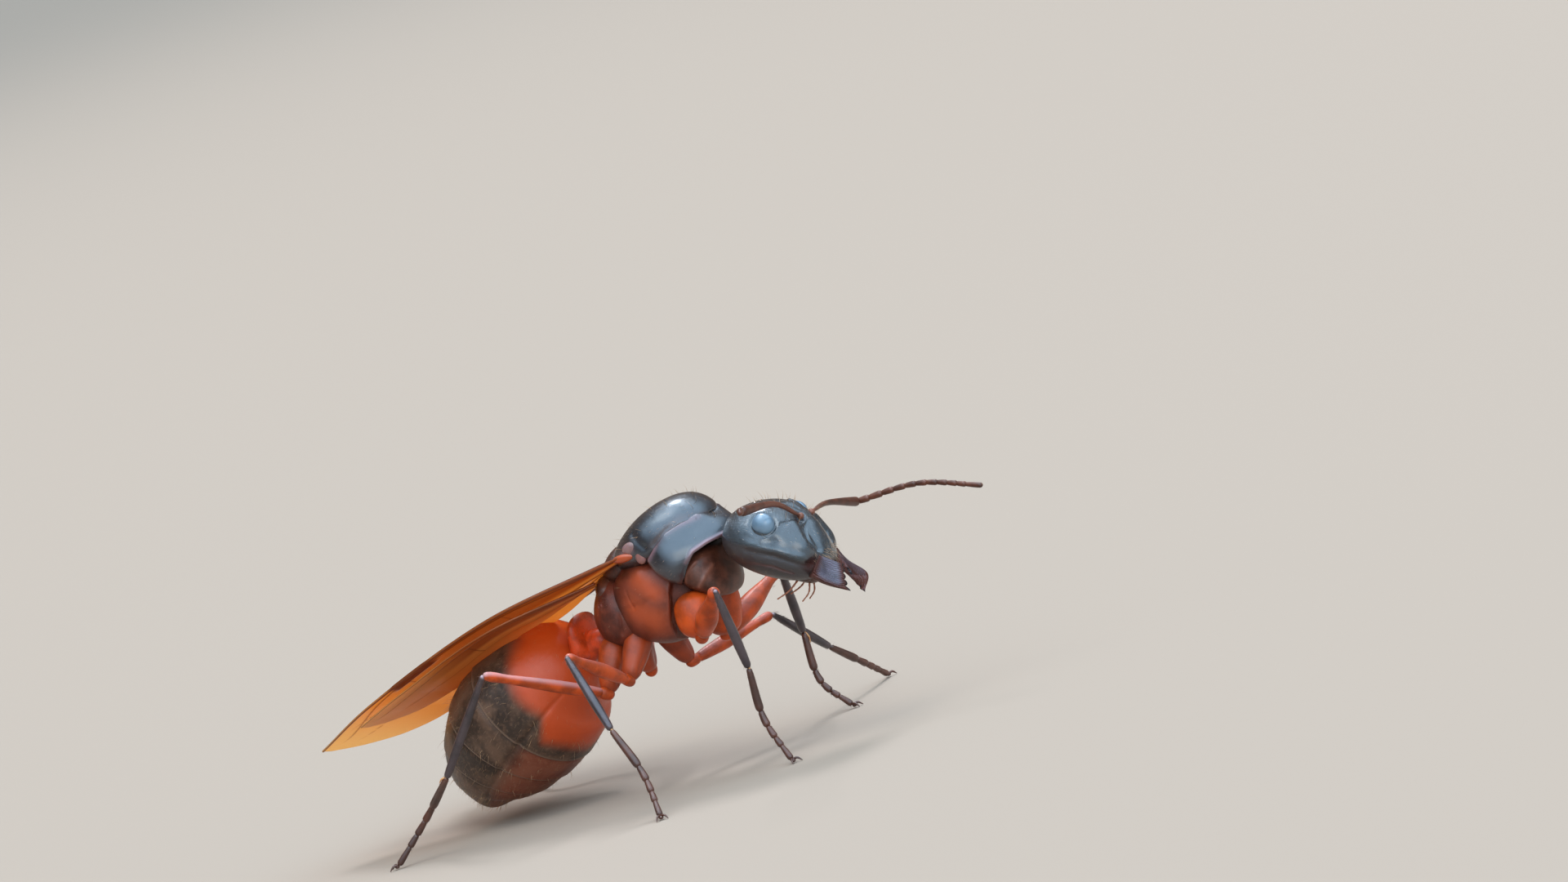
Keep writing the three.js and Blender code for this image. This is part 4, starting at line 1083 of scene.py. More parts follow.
# %% [markdown]
# ## Small plates between the large ones
# A narrow band lies behind the small shield, a neck joins the head, and each forewing has a shoulder cap
# over its hinge.

# %% Neck, rear band and shoulder caps
neck_line = [placed([-1.2, 0, -0.1], HEAD), placed([3.2, 0, 0.0], THORAX), placed([2.6, 0, -0.2], THORAX)]
neck = closed(tube(neck_line, [[0, 0.3], [1, 0.42]], 24, 40))
piece("neck", [neck], BROWN, "brown", ["propleura"])
band = {
    "from": -1.85, "to": -1.05, "height": 0.3, "blunt": 0.5, "square": 2.3,
    "stations": [[0, 0.8, 0.35, 0.4, 0], [0.5, 1.02, 0.5, 0.5, 0], [1, 1.05, 0.5, 0.5, 0]],
}
band_shell = closed(placed(bowed(band, 50, 90), THORAX))
piece("rear band", [band_shell], BROWN, "brown", ["scutellum"])
CAP = cuticle(
    "shoulder cap", (0.17, 0.09, 0.085), (0.36, 0.055, 0.010), rough=0.34, coat=0.3, specular=0.5,
    net=(36, 0.0006, 0.0008, 0.004), inside=0.2,
)
CAP_PARTS = [
    ([1.34, 1.33, 6.88], [0.34, 0.14, 0.2], 0),
    ([1.56, 1.4, 6.6], [0.17, 0.1, 0.22], 0.2),
    ([0.98, 1.42, 6.68], [0.36, 0.1, 0.12], 1),
]
for name, side in SIDES.items():
    shells = [closed(ball(sided(at, side), radii, 30, 44)) for at, radii, _ in CAP_PARTS]
    orange = np.concatenate([np.full(len(shell[0]), part[2]) for shell, part in zip(shells, CAP_PARTS)])
    piece(f"shoulder cap {name}", shells, CAP, "brown", [f"forewing_{name}"], values={"tone": orange})

# %% [markdown]
# ## Wings
# A wing is a very thin skin on a fan of stiff veins. It is one sheet here: along the wing the front edge
# leads, and across it each point has a place on the chord. Veins are round ridges raised on both faces, so
# the sheet grows thicker near a vein by half a circle. The front edge is the stoutest vein.

# %% The wing rule
WING_PLANS = {
    "fore": {
        "chords": [
            [0, 0.6], [0.06, 1.15], [0.15, 1.8], [0.3, 2.6], [0.55, 3.35], [0.75, 3.1], [0.9, 2.2],
            [0.97, 1.2], [1, 0.3],
        ],
        "veins": [
            ([[0, 0.3], [0.3, 0.1], [0.7, 0.07], [1, 0.3]], 0, 0.97, 0.036),
            ([[0, 0.5], [0.3, 0.42], [0.6, 0.36], [1, 0.5]], 0, 0.96, 0.028),
            ([[0, 0.75], [0.3, 0.74], [0.6, 0.72], [1, 0.7]], 0, 0.62, 0.028),
            ([[0, 0.5], [0.6, 0.36], [0.72, 0.24], [0.9, 0.1], [1, 0.1]], 0.6, 0.9, 0.024),
            ([[0, 0.75], [0.36, 0.73], [0.6, 0.88], [1, 1]], 0.36, 0.6, 0.022),
        ],
        "crossing": [[0.24, 0.42, 0.74], [0.31, 0.1, 0.42], [0.62, 0.07, 0.36]],
        "stigma": [0.52, 0.66],
        "lead": 0.06,
    },
    "hind": {
        "chords": [[0, 0.5], [0.12, 0.9], [0.35, 1.6], [0.6, 1.9], [0.85, 1.4], [0.96, 0.75], [1, 0.25]],
        "veins": [
            ([[0, 0.3], [0.4, 0.14], [1, 0.3]], 0, 0.97, 0.026),
            ([[0, 0.6], [0.4, 0.56], [1, 0.6]], 0, 0.9, 0.022),
        ],
        "crossing": [[0.45, 0.14, 0.56]],
        "stigma": [2, 2],
        "lead": 0.035,
    },
}
SKIN = 0.012
NARROWING = 0.55
CROSS_VEIN, SPOT = 0.022, 0.035
PLEAT = 0.05


def hump(distance, radius):
    """Half a circle's height over a vein's middle line."""
    return radius * np.sqrt(np.clip(1 - (distance / radius) ** 2, 0, 1))


def stretch(f, start, end, blur=0.02):
    """1 between two fractions and 0 beyond them."""
    return soft_step(f, start - blur, start + blur) * soft_step(-f, -end - blur, -end + blur)


def wing(plan, side, edge, level, slope, rows=350, sides=224):
    """A grid of flat rings. A point is edge(f) + chord direction * v * chord(f), moved along the normal by
    the level of the sheet, and up or down from it by half the skin plus the nearest vein's hump. With it
    come f, v and how much of a vein each point is. A dark spot past the tip is no spot at all."""
    f = np.linspace(0.003, 0.9985, rows)
    place, along, length = path(edge, f)
    sideways = unit(np.cross(along, UP) * -side)
    down = np.cross(sideways, along) * side
    angle = np.radians(between(slope, f))
    across = sideways * np.cos(angle) + down * np.sin(angle)
    normal = np.cross(across, along) * -side
    chord = between(plan["chords"], f)
    a = 2 * np.pi * np.arange(sides) / sides
    v = np.broadcast_to((1 - np.cos(a)) / 2, (rows, sides))
    f = f[:, None]
    taper = 1 - NARROWING * f
    lead = plan["lead"] * taper * (0.5 + 0.5 * soft_step(f, 0, 0.06))
    ridge = lead * np.sqrt(np.clip(1 - (v * chord / lead - 1) ** 2, 0, 1))
    for line, start, end, radius in plan["veins"]:
        fade = soft_step(-f, -end, -end + 0.08)
        if start:
            fade = fade * soft_step(f, start - 0.02, start + 0.02)
        away = np.abs(v - between(line, f[:, 0])) * chord
        ridge = np.maximum(ridge, hump(away, radius * taper) * fade)
    for at, v_start, v_end in plan["crossing"]:
        ridge = np.maximum(ridge, hump(np.abs(f - at) * length, CROSS_VEIN) * ((v > v_start) & (v < v_end)))
    stigma = stretch(f, *plan["stigma"]) * soft_step(0.115 - v, 0, 0.02)
    ridge = np.maximum(ridge, SPOT * stigma)
    pleats = PLEAT * np.sin(v * 9 + 2.5 * f) * soft_step(v, 0.0, 0.3) * (1 - f)
    thick = SKIN / 2 * np.abs(np.sin(a)) ** 0.3 + ridge * (np.abs(np.sin(a)) > 1e-6)
    height = level + pleats + np.sign(np.sin(a)) * thick
    grid = place[:, None] + across[:, None] * (v * chord)[..., None] + normal[:, None] * height[..., None]
    return grid, f, v, np.clip(np.maximum(ridge / 0.026, stigma * 1.2), 0, 1)


print("wing plans:", ", ".join(WING_PLANS))

# %% [markdown]
# The skin is amber and lets light through. It is darker behind the front edge and near the root, paler
# towards the tip, and brown along the veins.

# %% Finish of the wings, and all four
def wing_finish():
    """Amber skin that lets light through: part glossy, part glowing from behind, and partly clear."""
    look, tree = empty_finish("amber wing")
    amber = mixed(tree, value_of(tree, "tone"), (0.78, 0.36, 0.09), (0.42, 0.095, 0.018))
    amber = mixed(tree, value_of(tree, "glow"), amber, (0.80, 0.50, 0.18))
    vein = value_of(tree, "vein")
    colour = mixed(tree, vein, amber, (0.26, 0.07, 0.018))
    sockets = {
        "Base Color": colour,
        "Roughness": 0.25,
        "Normal": netted(tree, (9, 0.0, 0.004, 0.01)),
        "Coat Weight": 0.4,
        "Coat Roughness": 0.12,
    }
    shiny = add(tree, "BsdfPrincipled", sockets)
    lit = add(tree, "BsdfTranslucent", {"Color": colour})
    body = add(tree, "MixShader", {0: 0.55, 1: shiny.outputs[0], 2: lit.outputs[0]})
    clear = add(tree, "BsdfTransparent", {"Color": (1.0, 0.8, 0.45, 1)})
    solid = remap(tree, vein, 0.0, 1.0, 0.86, 1.0, smooth=False)
    both = add(tree, "MixShader", {0: solid, 1: clear.outputs[0], 2: body.outputs[0]})
    add(tree, "OutputMaterial", {"Surface": both.outputs[0]})
    return look


WING = wing_finish()
WINGS = {
    "forewing_right": (
        "fore", -1, [[1, -1.5, 6.6], [-3.36, -2.35, 5.95], [-8.78, -1.7, 4.3], [-11.9, -0.35, 3.15]],
    ),
    "forewing_left": ("fore", 1, [[1, 1.5, 6.55], [-3.2, 3.2, 5.65], [-8.2, 5.15, 4.25], [-11, 5.6, 3.25]]),
    "hindwing_right": (
        "hind", -1, [[-0.3, -1.3, 6.3], [-3.6, -2.4, 5.85], [-7.2, -2.1, 4.75], [-9.6, -1.3, 3.95]],
    ),
    "hindwing_left": (
        "hind", 1, [[-0.3, 1.4, 6.35], [-3.5, 3.1, 5.5], [-7, 4.35, 4.55], [-9.3, 4.9, 3.85]],
    ),
}
LEVELS = {"fore": 0.15, "hind": -0.12}
SLOPES = {-1: [[0, 9], [0.1, 20], [0.2, 25], [0.35, 21], [1, 18]], 1: [[0, 2], [0.5, 3], [1, 4]]}
for name, (pair, side, edge) in WINGS.items():
    grid, f, v, vein = wing(WING_PLANS[pair], side, edge, LEVELS[pair], SLOPES[side])
    front = 0.9 * soft_step(0.42 - v, 0, 0.12) * soft_step(0.8 - f, 0, 0.4)
    dark = np.clip(front + 0.5 * soft_step(0.2 - f, 0, 0.2), 0, 1)
    pale = soft_step(f, 0.72, 1.0) + 0 * v
    values = {"tone": dark.ravel(), "glow": pale.ravel(), "vein": vein.ravel()}
    piece(f"{name} membrane", [sheet_of(grid)], WING, "wing", [name], values=values)

# %% [markdown]
# ## The waist
# One small joint links the middle body to the gaster. It carries an upright scale, broad from side to side
# and thin from front to back, with a rounded top.

# %% Petiole
WAIST_LINE = [[-1.1, 0, 4.4], [-1.9, 0, 4.3], [-2.5, 0, 3.95]]
SCALE_FOOT, SCALE_TOP = np.array([-2.1, 0, 3.95]), np.array([-2.0, 0, 5.3])
SCALE_WIDE = 0.75
PETIOLE = cuticle(
    "red waist", (0.45, 0.042, 0.006), (0.12, 0.024, 0.012), rough=0.36, coat=0.1,
    net=(36, 0.0010, 0.0014, 0.010), inside=0.1, specular=0.3,
)
stalk = tube(WAIST_LINE, [[0, 0.36], [0.5, 0.42], [1, 0.4]], 50, 64)
climb = (1 - np.cos(np.pi * np.linspace(0.03, 0.97, 70))) / 2
at = SCALE_FOOT + (SCALE_TOP - SCALE_FOOT) * climb[:, None]
wide = SCALE_WIDE * (1 - np.abs(2 * climb - 1) ** 4) ** 0.5
thin = (0.4 - 0.24 * climb) * (1 - np.abs(2 * climb - 1) ** 6) ** 0.5
along = np.broadcast_to(UP, at.shape)
scale_grid = rings(at, along, wide, thin, thin, upright=FORWARD, square=2.2, sides=90)
shells = [closed(stalk), closed(scale_grid, SCALE_FOOT, SCALE_TOP)]
dark = 0.6 * capped(np.broadcast_to(soft_step(climb, 0.75, 1.0)[:, None], scale_grid.shape[:2]))
values = {"tone": np.append(np.zeros(len(shells[0][0])), dark)}
piece("waist", shells, PETIOLE, "rust", ["petiole"], values=values)

# %% [markdown]
# ## The gaster
# The gaster is an egg-shaped bag under overlapping plates. Each back plate ends in a thin pale lip and runs
# over the start of the next. Along each flank a seam parts the back plates from the belly plates. The first
# plate is orange where it starts, and orange runs on along the belly.

# %% Gaster plates
GASTER_PATH = [
    [-2.15, 0, 3.95], [-3.1, 0, 3.75], [-4, 0, 3.3], [-5.1, 0, 2.65], [-5.95, 0, 1.95], [-6.6, 0, 1.25],
    [-7.05, 0, 0.5],
]
GASTER_STATIONS = [
    [0, 2.4, 2.3, 2.3], [0.15, 2.4, 2.3, 2.3], [0.31, 2.25, 2.1, 2.1], [0.5, 2.2, 2.04, 2.04],
    [0.68, 2.15, 2.05, 2], [0.86, 2.1, 2.05, 1.9], [1, 1.5, 1.4, 1.4],
]
GASTER_CUTS = [0, 0.4, 0.6, 0.76, 0.89, 1]
FLARE = 0.035
HIDDEN = 0.03
LIP_ALONG = np.linspace(0.001, 0.004, 6)
LIP_IN = np.array([0.002, 0.006, 0.012, 0.02, 0.04, 0.08])
FLANK_SEAM = 24


def gaster_plate(start, end, rows, sides=220):
    """Rings from just under the plate before to this plate's lip. The radius is the stations' oval times
    sin(pi * f^0.9)^0.5, and grows by the flare towards the lip, which then rolls inwards. With the grid come
    each ring's place f along the gaster and each column's angle below level."""
    hidden = HIDDEN if start else 0.0
    t = np.linspace(0, 1, rows)
    if not start:
        t = 1 - np.cos(t * np.pi / 2)
    f = np.clip(start - hidden + (end - start + hidden) * t, 0.003, 0.997)
    grown = 1 + FLARE * t - hidden * (1 - soft_step(t, 0, 0.3))
    if end < 1:
        f = np.append(f, f[-1] + LIP_ALONG)
        grown = np.append(grown, 1 + FLARE - LIP_IN)
    place, along, _ = path(GASTER_PATH, f)
    size = between(GASTER_STATIONS, f) * (np.sin(np.pi * f**0.9) ** 0.5 * grown)[:, None]
    grid = rings(place, along, *size.T, sides=sides)
    below = np.degrees(np.arcsin(-np.sin(2 * np.pi * np.arange(sides) / sides)))
    seam = -0.03 * np.exp(-(((below - FLANK_SEAM) / 2.2) ** 2)) - 0.012 * soft_step(below, 22, 26)
    return place[:, None] + (grid - place[:, None]) * (1 + seam[None, :, None]), f[:, None], below[None]


belly_grids = []
for i, (start, end) in enumerate(zip(GASTER_CUTS[:-1], GASTER_CUTS[1:]), start=1):
    grid, f, below = gaster_plate(start, end, 60 if start else 110)
    belly_grids.append(grid)
    under = soft_step(below, 20, 40)
    reach = 0.19 + 0.03 * np.cos(np.radians(3 * below)) + 0.14 * under
    orange = 0.25 * under + 0 * f if start else 1 - soft_step(f - reach, -0.04, 0.05)
    lip = np.where((f > end - 0.006) & (end < 1), 0.7, 0.0) + 0 * under
    values = {"tone": capped(orange), "glow": capped(lip)}
    piece(f"gaster plate {i}", [closed(grid)], BELLY, "gaster", [f"gaster_{i}"], values=values)

# %% [markdown]
# ## Legs
# Six legs share one build: a stout hip joint, a small ring joint, a thigh, a shin with a spur at its end, and
# a foot of five joints with two claws. Only the places of the joints and a few widths differ.

# %% Legs
LEGS = {
    "fore_right": [
        [2.45, -1.1, 3.9], [4.31, -2.57, 5.32], [4.24, -2.08, 2.88], [4.15, -2.02, 1.37], [4.79, -2.32],
    ],
    "mid_right": [
        [-0.08, -1.48, 3.26], [0.04, -4.31, 4.76], [1.28, -5.19, 2.58], [2.13, -5.65, 1.24],
        [2.78, -6.48],
    ],
    "hind_right": [
        [-1.07, -1.23, 3.01], [-2.61, -4.66, 4.88], [-5.05, -4.47, 2.28], [-6.69, -3.74, 1.17],
        [-7.83, -4.16],
    ],
    "fore_left": [
        [2.02, 0.8, 3.55], [2.68, 3.6, 4.66], [2.09, 4.63, 2.52], [2.16, 4.58, 1.02], [2.84, 4.72],
    ],
    "mid_left": [[0.42, 1.11, 3], [1.63, 4.06, 3.34], [1.84, 6.14, 1.7], [1.87, 7.54, 0.83], [1.75, 8.83]],
    "hind_left": [[-1.07, 1.23, 3.01], [-2.75, 4.6, 4.75], [-5.3, 4.25, 2.2], [-6.9, 3.6, 1.1], [-8, 4.1]],
}
TOE_HEIGHT = 0.11
# sheen and thigh sheen are the strengths of painted highlights on the hip and along the top of the thigh.
PAIRS = {
    "fore": {
        "top": [2.34, 0.74, 5.2], "coxa": [0.5, 0.6, 0.46], "dome": 0.7, "ring": 0.2,
        "femur": [0.26, 0.32, 0.16],
        "shin": 0.14, "brown": 0.0, "sheen": 0.0, "thigh sheen": 0.05,
    },
    "mid": {
        "top": [0.2, 0.42, 4.55], "coxa": [0.4, 0.38, 0.22], "dome": 1.2, "ring": 0.17,
        "femur": [0.17, 0.21, 0.13],
        "shin": 0.135, "brown": 0.5, "sheen": 0.55, "thigh sheen": 0.15,
    },
    "hind": {
        "top": [-0.75, 0.42, 4.5], "coxa": [0.4, 0.4, 0.24], "dome": 1.2, "ring": 0.19,
        "femur": [0.16, 0.18, 0.13],
        "shin": 0.135, "brown": 0.3, "sheen": 0.65, "thigh sheen": 0.5,
    },
}
RING_SHAPE = [[0, 0.9], [0.5, 1], [1, 0.85]]
SHIN_SHAPE = [[0, 0.55], [0.05, 0.6], [0.2, 0.8], [0.6, 1], [0.9, 0.85], [1, 0.7]]
FOOT_CUTS = [0, 0.44, 0.6, 0.73, 0.84, 1]
FOOT_RADII = [[0, 0.115], [1, 0.08]]
FOOT_SWELL = [[0, 0.72], [0.2, 0.9], [0.85, 1.12], [1, 0.95]]
CLAW_RADII = [[0, 0.045], [0.6, 0.03], [1, 0.01]]
SPUR_RADII = [[0, 0.035], [0.5, 0.028], [1, 0.008]]
SPUR = cuticle(
    "pale spur", (0.5, 0.24, 0.09), rough=0.4, coat=0.2, net=(30, 0.0, 0.0008, 0.0), inside=0.2,
    contrast=0.1,
)
print("legs:", ", ".join(LEGS))

# %% [markdown]
# The hip joint has a groove down its front. The thigh grows darker at the knee, and the shin starts paler. A
# pinkish-white highlight is painted on the hips and along the tops of the thighs.

# %% Parts of a leg
def hip_joint(side, hip, sizes):
    """The leg's stout first joint with a shallow groove down its front, and its two colour values, the second
    a painted highlight.
    """
    top = sided(sizes["top"], side)
    keel = hip - top
    radii = [[k / 2, radius] for k, radius in enumerate(sizes["coxa"])]
    groove = [top + 0.15 * keel + 0.3 * FORWARD, hip - 0.15 * keel + 0.34 * FORWARD]
    grid = sided(tube([top, hip], radii, 60, 72, dome=sizes["dome"]), side)
    grid = sided(pressed(grid, [(sided(groove, side), 0.09, -0.05)]), side)
    # A painted pinkish-white highlight on the hip joint.
    sheen = spots(grid, [([hip - 0.35 * keel + [0.1, 0.3 * side, 0.1]], 0.3, sizes["sheen"])])
    return closed(grid), {"tone": capped(np.full(sheen.shape, sizes["brown"])), "glow": capped(sheen)}


def thigh(hip, knee, sizes):
    """The small ring joint and the thigh after it, the thigh's line, and the two colour values, the second a
    painted highlight along the top.
    """
    ahead = unit(knee - hip)
    first, most, last = sizes["femur"]
    radii = [
        [0, first * 0.8], [0.14, first * 1.05], [0.4, most], [0.8, last], [0.93, last * 1.12],
        [1, last * 0.8],
    ]
    line = [hip + 0.2 * ahead, knee]
    ring = closed(tube([hip - 0.18 * ahead, hip + 0.34 * ahead], scaled(RING_SHAPE, sizes["ring"]), 24, 36))
    grid = tube(line, radii, 80, 44, upright=steady_up([hip, knee]))
    plain = np.zeros(len(ring[0]))
    # A painted highlight on the upward-facing side of the thigh.
    upper = soft_step(normals_of(grid)[..., 2], -0.2, 0.6) * sizes["thigh sheen"]
    values = {
        "tone": np.append(plain, capped(towards_end(grid, 0.93))),
        "glow": np.append(plain, capped(upper)),
    }
    return [ring, closed(grid)], line, values


def spur(knee, shin, heel):
    """The curved spine at the end of a shin."""
    ahead = unit(heel - shin)
    aside = unit(np.cross(ahead, unit(shin - knee)) + 0.3 * UP)
    line = [shin - 0.05 * ahead, shin + 0.22 * ahead + 0.12 * aside, shin + 0.42 * ahead + 0.12 * aside]
    return closed(tube(line, SPUR_RADII, 18, 12))


def claws(heel, toe):
    """Two hooks at the end of a foot, that curve out, forward and down to the floor, and a pad between."""
    ahead = unit((toe - heel) * [1, 1, 0])
    shells = [closed(ball(toe + 0.06 * ahead - 0.03 * UP, [0.07, 0.07, 0.05], 12, 16))]
    for turn in (-1, 1):
        aside = turn * np.cross(UP, ahead)
        middle = toe + 0.14 * ahead + 0.1 * aside + 0.02 * UP
        line = [toe, middle, toe + 0.26 * ahead + 0.17 * aside - 0.09 * UP]
        shells.append(closed(tube(line, CLAW_RADII, 18, 12)))
    return shells


print("parts of a leg: hip joint, thigh, shin, foot, spur")

# %% [markdown]
# The six legs follow, and the line and thickness of each part is kept for its bristles.

# %% Six legs
leg_lines = {}
for name, (*joints, (toe_x, toe_y)) in LEGS.items():
    pair, side_name = name.split("_")
    title, sizes = name.replace("_", " "), PAIRS[pair]
    hip, knee, shin, heel = np.array(joints, float)
    toe = np.array([toe_x, toe_y, TOE_HEIGHT])
    coxa, values = hip_joint(SIDES[side_name], hip, sizes)
    piece(f"hip joint {title}", [coxa], ORANGE, "orange", [f"coxa_{name}"], values=values)
    shells, thigh_line, values = thigh(hip, knee, sizes)
    piece(f"thigh {title}", shells, ORANGE, "orange", [f"femur_{name}"], values=values)
    leg = tube([knee, shin], scaled(SHIN_SHAPE, sizes["shin"]), 80, 36, upright=steady_up([knee, shin]))
    values = {"tone": capped(towards_end(leg, 0.9, backwards=True))}
    piece(f"shin {title}", [closed(leg)], SHIN, "shin", [f"tibia_{name}"], values=values)
    foot = chain([shin, heel, toe], FOOT_CUTS, FOOT_RADII, FOOT_SWELL, 24, 24)
    piece(f"foot {title}", foot + claws(heel, toe), FOOT, "foot", [f"tarsus_{name}"])
    piece(f"spur {title}", [spur(knee, shin, heel)], SPUR, "foot", [f"tibia_{name}"])
    leg_lines[name] = {
        "thigh": (thigh_line, sizes["femur"][1]), "shin": ([knee, shin], sizes["shin"]),
        "foot": ([shin, heel, toe], 0.1),
    }

# %% [markdown]
# ## The coat
# Short hairs lie back over the whole body. Long golden ones stand on the top of the head, along the front of
# the face, on the back and in a row before each lip of the gaster. The legs and feelers carry short bristles.

# %% Hairs of the head and body
BACKWARD = -FORWARD
DOWN_AHEAD = np.array([0.7, 0.1, -0.9])
DOWN_BACK = [-0.6, 0, -0.6]
PLATE_HAIRS = {
    "mesoscutum": (46, 500), "scutellum": (16, 100), "pronotum": (22, 200), "mesopleura": (10, 220),
    "propodeum": (10, 140), "propleura": (6, 100),
}
head_skin = placed(head_grid, HEAD)
crown = (head_grid[..., 2] > 0.75) * (head_grid[..., 0] < 0.6)
face_edge = (head_grid[..., 0] > 1.3) * (head_grid[..., 2] > -0.1)
cheek = (head_grid[..., 2] < 0.2) * (head_grid[..., 0] > -1)
tufts = [
    hairs_on(head_skin, 34, 0.42, 0.0065, 0.95, BACKWARD, 1, crown),
    hairs_on(head_skin, 40, 0.30, 0.006, 0.5, DOWN_AHEAD, 2, face_edge),
    hairs_on(head_skin, 14, 0.14, 0.0035, 0.6, DOWN_AHEAD, 3, cheek),
    hairs_on(head_skin, 500, 0.06, 0.002, 0.2, [0.5, 0, -0.6], 4),
]
coat("head hairs", tufts, HAIR, "brown", ["head"])
tufts = []
for k, (name, (tall, short)) in enumerate(PLATE_HAIRS.items()):
    skin = placed(plate_grids[name], THORAX)
    high = plate_grids[name][..., 2] > PLATES[name]["height"] + 0.25
    tufts.append(hairs_on(skin, tall, 0.30, 0.0055, 0.9, BACKWARD, 10 + k, high))
    tufts.append(hairs_on(skin, short, 0.085, 0.0024, 0.22, [-0.8, 0, -0.5], 20 + k))
nodes = ["mesoscutum", "pronotum", "scutellum", "mesopleura", "propodeum", "propleura"]
coat("body hairs", tufts, HAIR, "brown", nodes)
tufts = [
    hairs_on(scale_grid, 26, 0.24, 0.005, 0.9, UP, 30),
    hairs_on(scale_grid, 120, 0.08, 0.0024, 0.3, UP, 31),
]
for k, grid in enumerate(belly_grids):
    row = np.linspace(0, 1, len(grid))[:, None] * np.ones(grid.shape[:2])
    before_lip = (row > 0.72) * (row < 0.9)
    tufts.append(hairs_on(grid, 44, 0.34, 0.0055, 0.6, DOWN_BACK, 40 + k, before_lip))
    tufts.append(hairs_on(grid, 520, 0.15, 0.0028, 0.12, DOWN_BACK, 50 + k))
coat("gaster hairs", tufts, HAIR, "gaster", [f"gaster_{i}" for i in range(1, 6)] + ["petiole"])

# %% [markdown]
# A limb's bristles root on a plain tube just inside its skin, and lie towards its tip.

# %% Bristles of the legs and feelers
LEG_BRISTLES = [
    ("thigh", 110, 0.12, 0.0035, 0.35),
    ("shin", 260, 0.13, 0.0045, 0.35),
    ("foot", 260, 0.12, 0.0042, 0.4),
]
INSIDE_SKIN = 0.8
FEELER_SKIN = 0.075


def limb_hairs(line, size, count, length, thick, lift, seed):
    """Bristles round a limb from end to end."""
    skin = tube(line, [[0, size], [1, size * 0.8]], 40, 16, upright=steady_up(line))
    lie = np.array(line[-1], float) - np.array(line[0], float)
    return hairs_on(skin, count, length, thick, lift, lie, seed)


for n, (name, lines) in enumerate(leg_lines.items()):
    tufts = []
    for k, (part, *sizes) in enumerate(LEG_BRISTLES):
        line, radius = lines[part]
        tufts.append(limb_hairs(line, radius * INSIDE_SKIN, *sizes, 100 + 10 * n + k))
    coat(f"bristles {name}", tufts, BRISTLE, "shin", [f"femur_{name}", f"tibia_{name}", f"tarsus_{name}"])
for n, (name, lines) in enumerate(feeler_lines.items()):
    tufts = [
        limb_hairs(line, FEELER_SKIN, 240, 0.07, 0.0026, 0.45, 200 + 10 * n + k)
        for k, line in enumerate(lines)
    ]
    coat(f"feeler hairs {name}", tufts, HAIR, "brown", [f"scape_{name}", f"flagellum_{name}"])

# %% [markdown]
# ## Floor, light and camera
# A plain pale floor goes off to the surround. Glossy black shows only what it mirrors, so the surround is
# dark brown near the horizon and a pale blue high up.

# %% Floor
HALF_FLOOR = 6.0
floor_mesh = bpy.data.meshes.new("floor")
corners = [(x * HALF_FLOOR, y * HALF_FLOOR, 0) for x, y in ((-1, -1), (1, -1), (1, 1), (-1, 1))]
floor_mesh.from_pydata(corners, [], [(0, 1, 2, 3)])
floor = bpy.data.objects.new("floor", floor_mesh)
bpy.context.scene.collection.objects.link(floor)
paper = bpy.data.materials.new("pale paper")
paper.use_nodes = True
paper_shader = paper.node_tree.nodes["Principled BSDF"]
paper_shader.inputs["Base Color"].default_value = (0.30, 0.235, 0.185, 1)
paper_shader.inputs["Roughness"].default_value = 0.7
floor_mesh.materials.append(paper)
print("floor:", 2 * HALF_FLOOR, "m wide")

# %% [markdown]
# Three square lamps, each large for so small a model, light her from overhead, from behind and from the
# front. All of them face the middle of the ant.

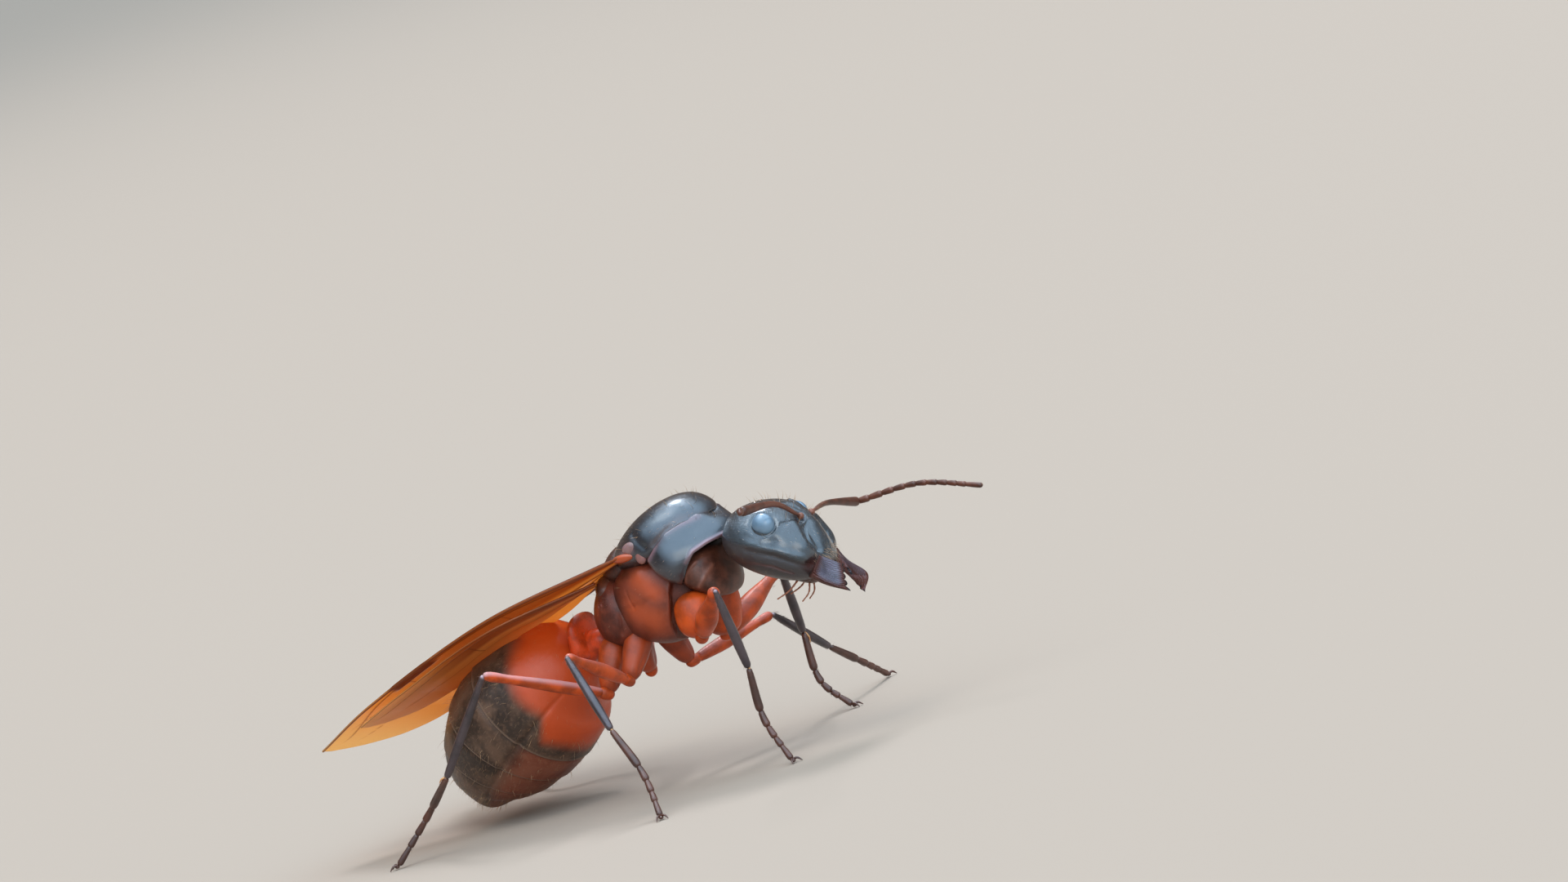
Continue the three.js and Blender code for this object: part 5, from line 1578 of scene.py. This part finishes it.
# %% Lights
HORIZON, SKY = (0.06, 0.045, 0.036), (0.64, 0.83, 1.0)
SKY_WAY = (0.42, -0.25, 0.87)
SKY_STRENGTH = 3.2
MIDDLE = [0, 0, 4]
world = bpy.data.worlds.new("pale surround")
bpy.context.scene.world = world
world.use_nodes = True
surround = world.node_tree
way = add(surround, "TexCoord").outputs["Generated"]
facing = add(surround, "VectorMath", {0: way, 1: SKY_WAY}, operation="DOT_PRODUCT").outputs["Value"]
shade = mixed(surround, remap(surround, facing, 0.26, 0.8), HORIZON, SKY)
backdrop = surround.nodes["Background"]
surround.links.new(shade, backdrop.inputs["Color"])
backdrop.inputs["Strength"].default_value = SKY_STRENGTH
bpy.context.scene.view_settings.view_transform = "Standard"


def stood(thing, right, top, back, at):
    """Places a lamp or camera: its three directions, and its place in mm."""
    turn = np.column_stack([right, top, back, np.array(at, float) * MM])
    thing.matrix_world = Matrix([*turn.tolist(), [0, 0, 0, 1]])
    bpy.context.scene.collection.objects.link(thing)


def lamp(name, at, size, watts, colour):
    """A square light of a size in mm, that faces the middle of the ant."""
    data = bpy.data.lights.new(name, "AREA")
    data.size = size * MM
    data.energy = watts
    data.color = colour
    back = unit(np.array(at, float) - MIDDLE)
    side = unit(np.cross(UP + [0.01, 0, 0], back))
    stood(bpy.data.objects.new(name, data), side, np.cross(back, side), back, at)


lamp("overhead", (-100, -250, 1000), 500, 3.0, (1.0, 0.95, 0.88))
lamp("back sheen", (-250, 620, 1050), 300, 8.0, (0.92, 0.95, 1.0))
lamp("front fill", (900, -1200, 500), 600, 4.0, (1.0, 0.9, 0.78))
print("lamps:", len(bpy.data.lights))

# %% [markdown]
# The camera stands off to her right and ahead, a little above her, leaning slightly, with a long lens.

# %% Camera
RIGHT = np.array([0.82034, 0.47674, -0.31584])
TOP = np.array([0.22092, 0.24523, 0.94396])
AHEAD = np.array([-0.52748, 0.84414, -0.09585])
CAMERA_AT = (121.344, -183.614, 29.271)
camera_data = bpy.data.cameras.new("camera")
camera_data.lens = 177.375
camera_data.sensor_width = 36
camera_data.clip_start = 0.001
camera = bpy.data.objects.new("camera", camera_data)
stood(camera, RIGHT, TOP, -AHEAD, CAMERA_AT)
bpy.context.scene.camera = camera
print("camera at", CAMERA_AT, "mm")
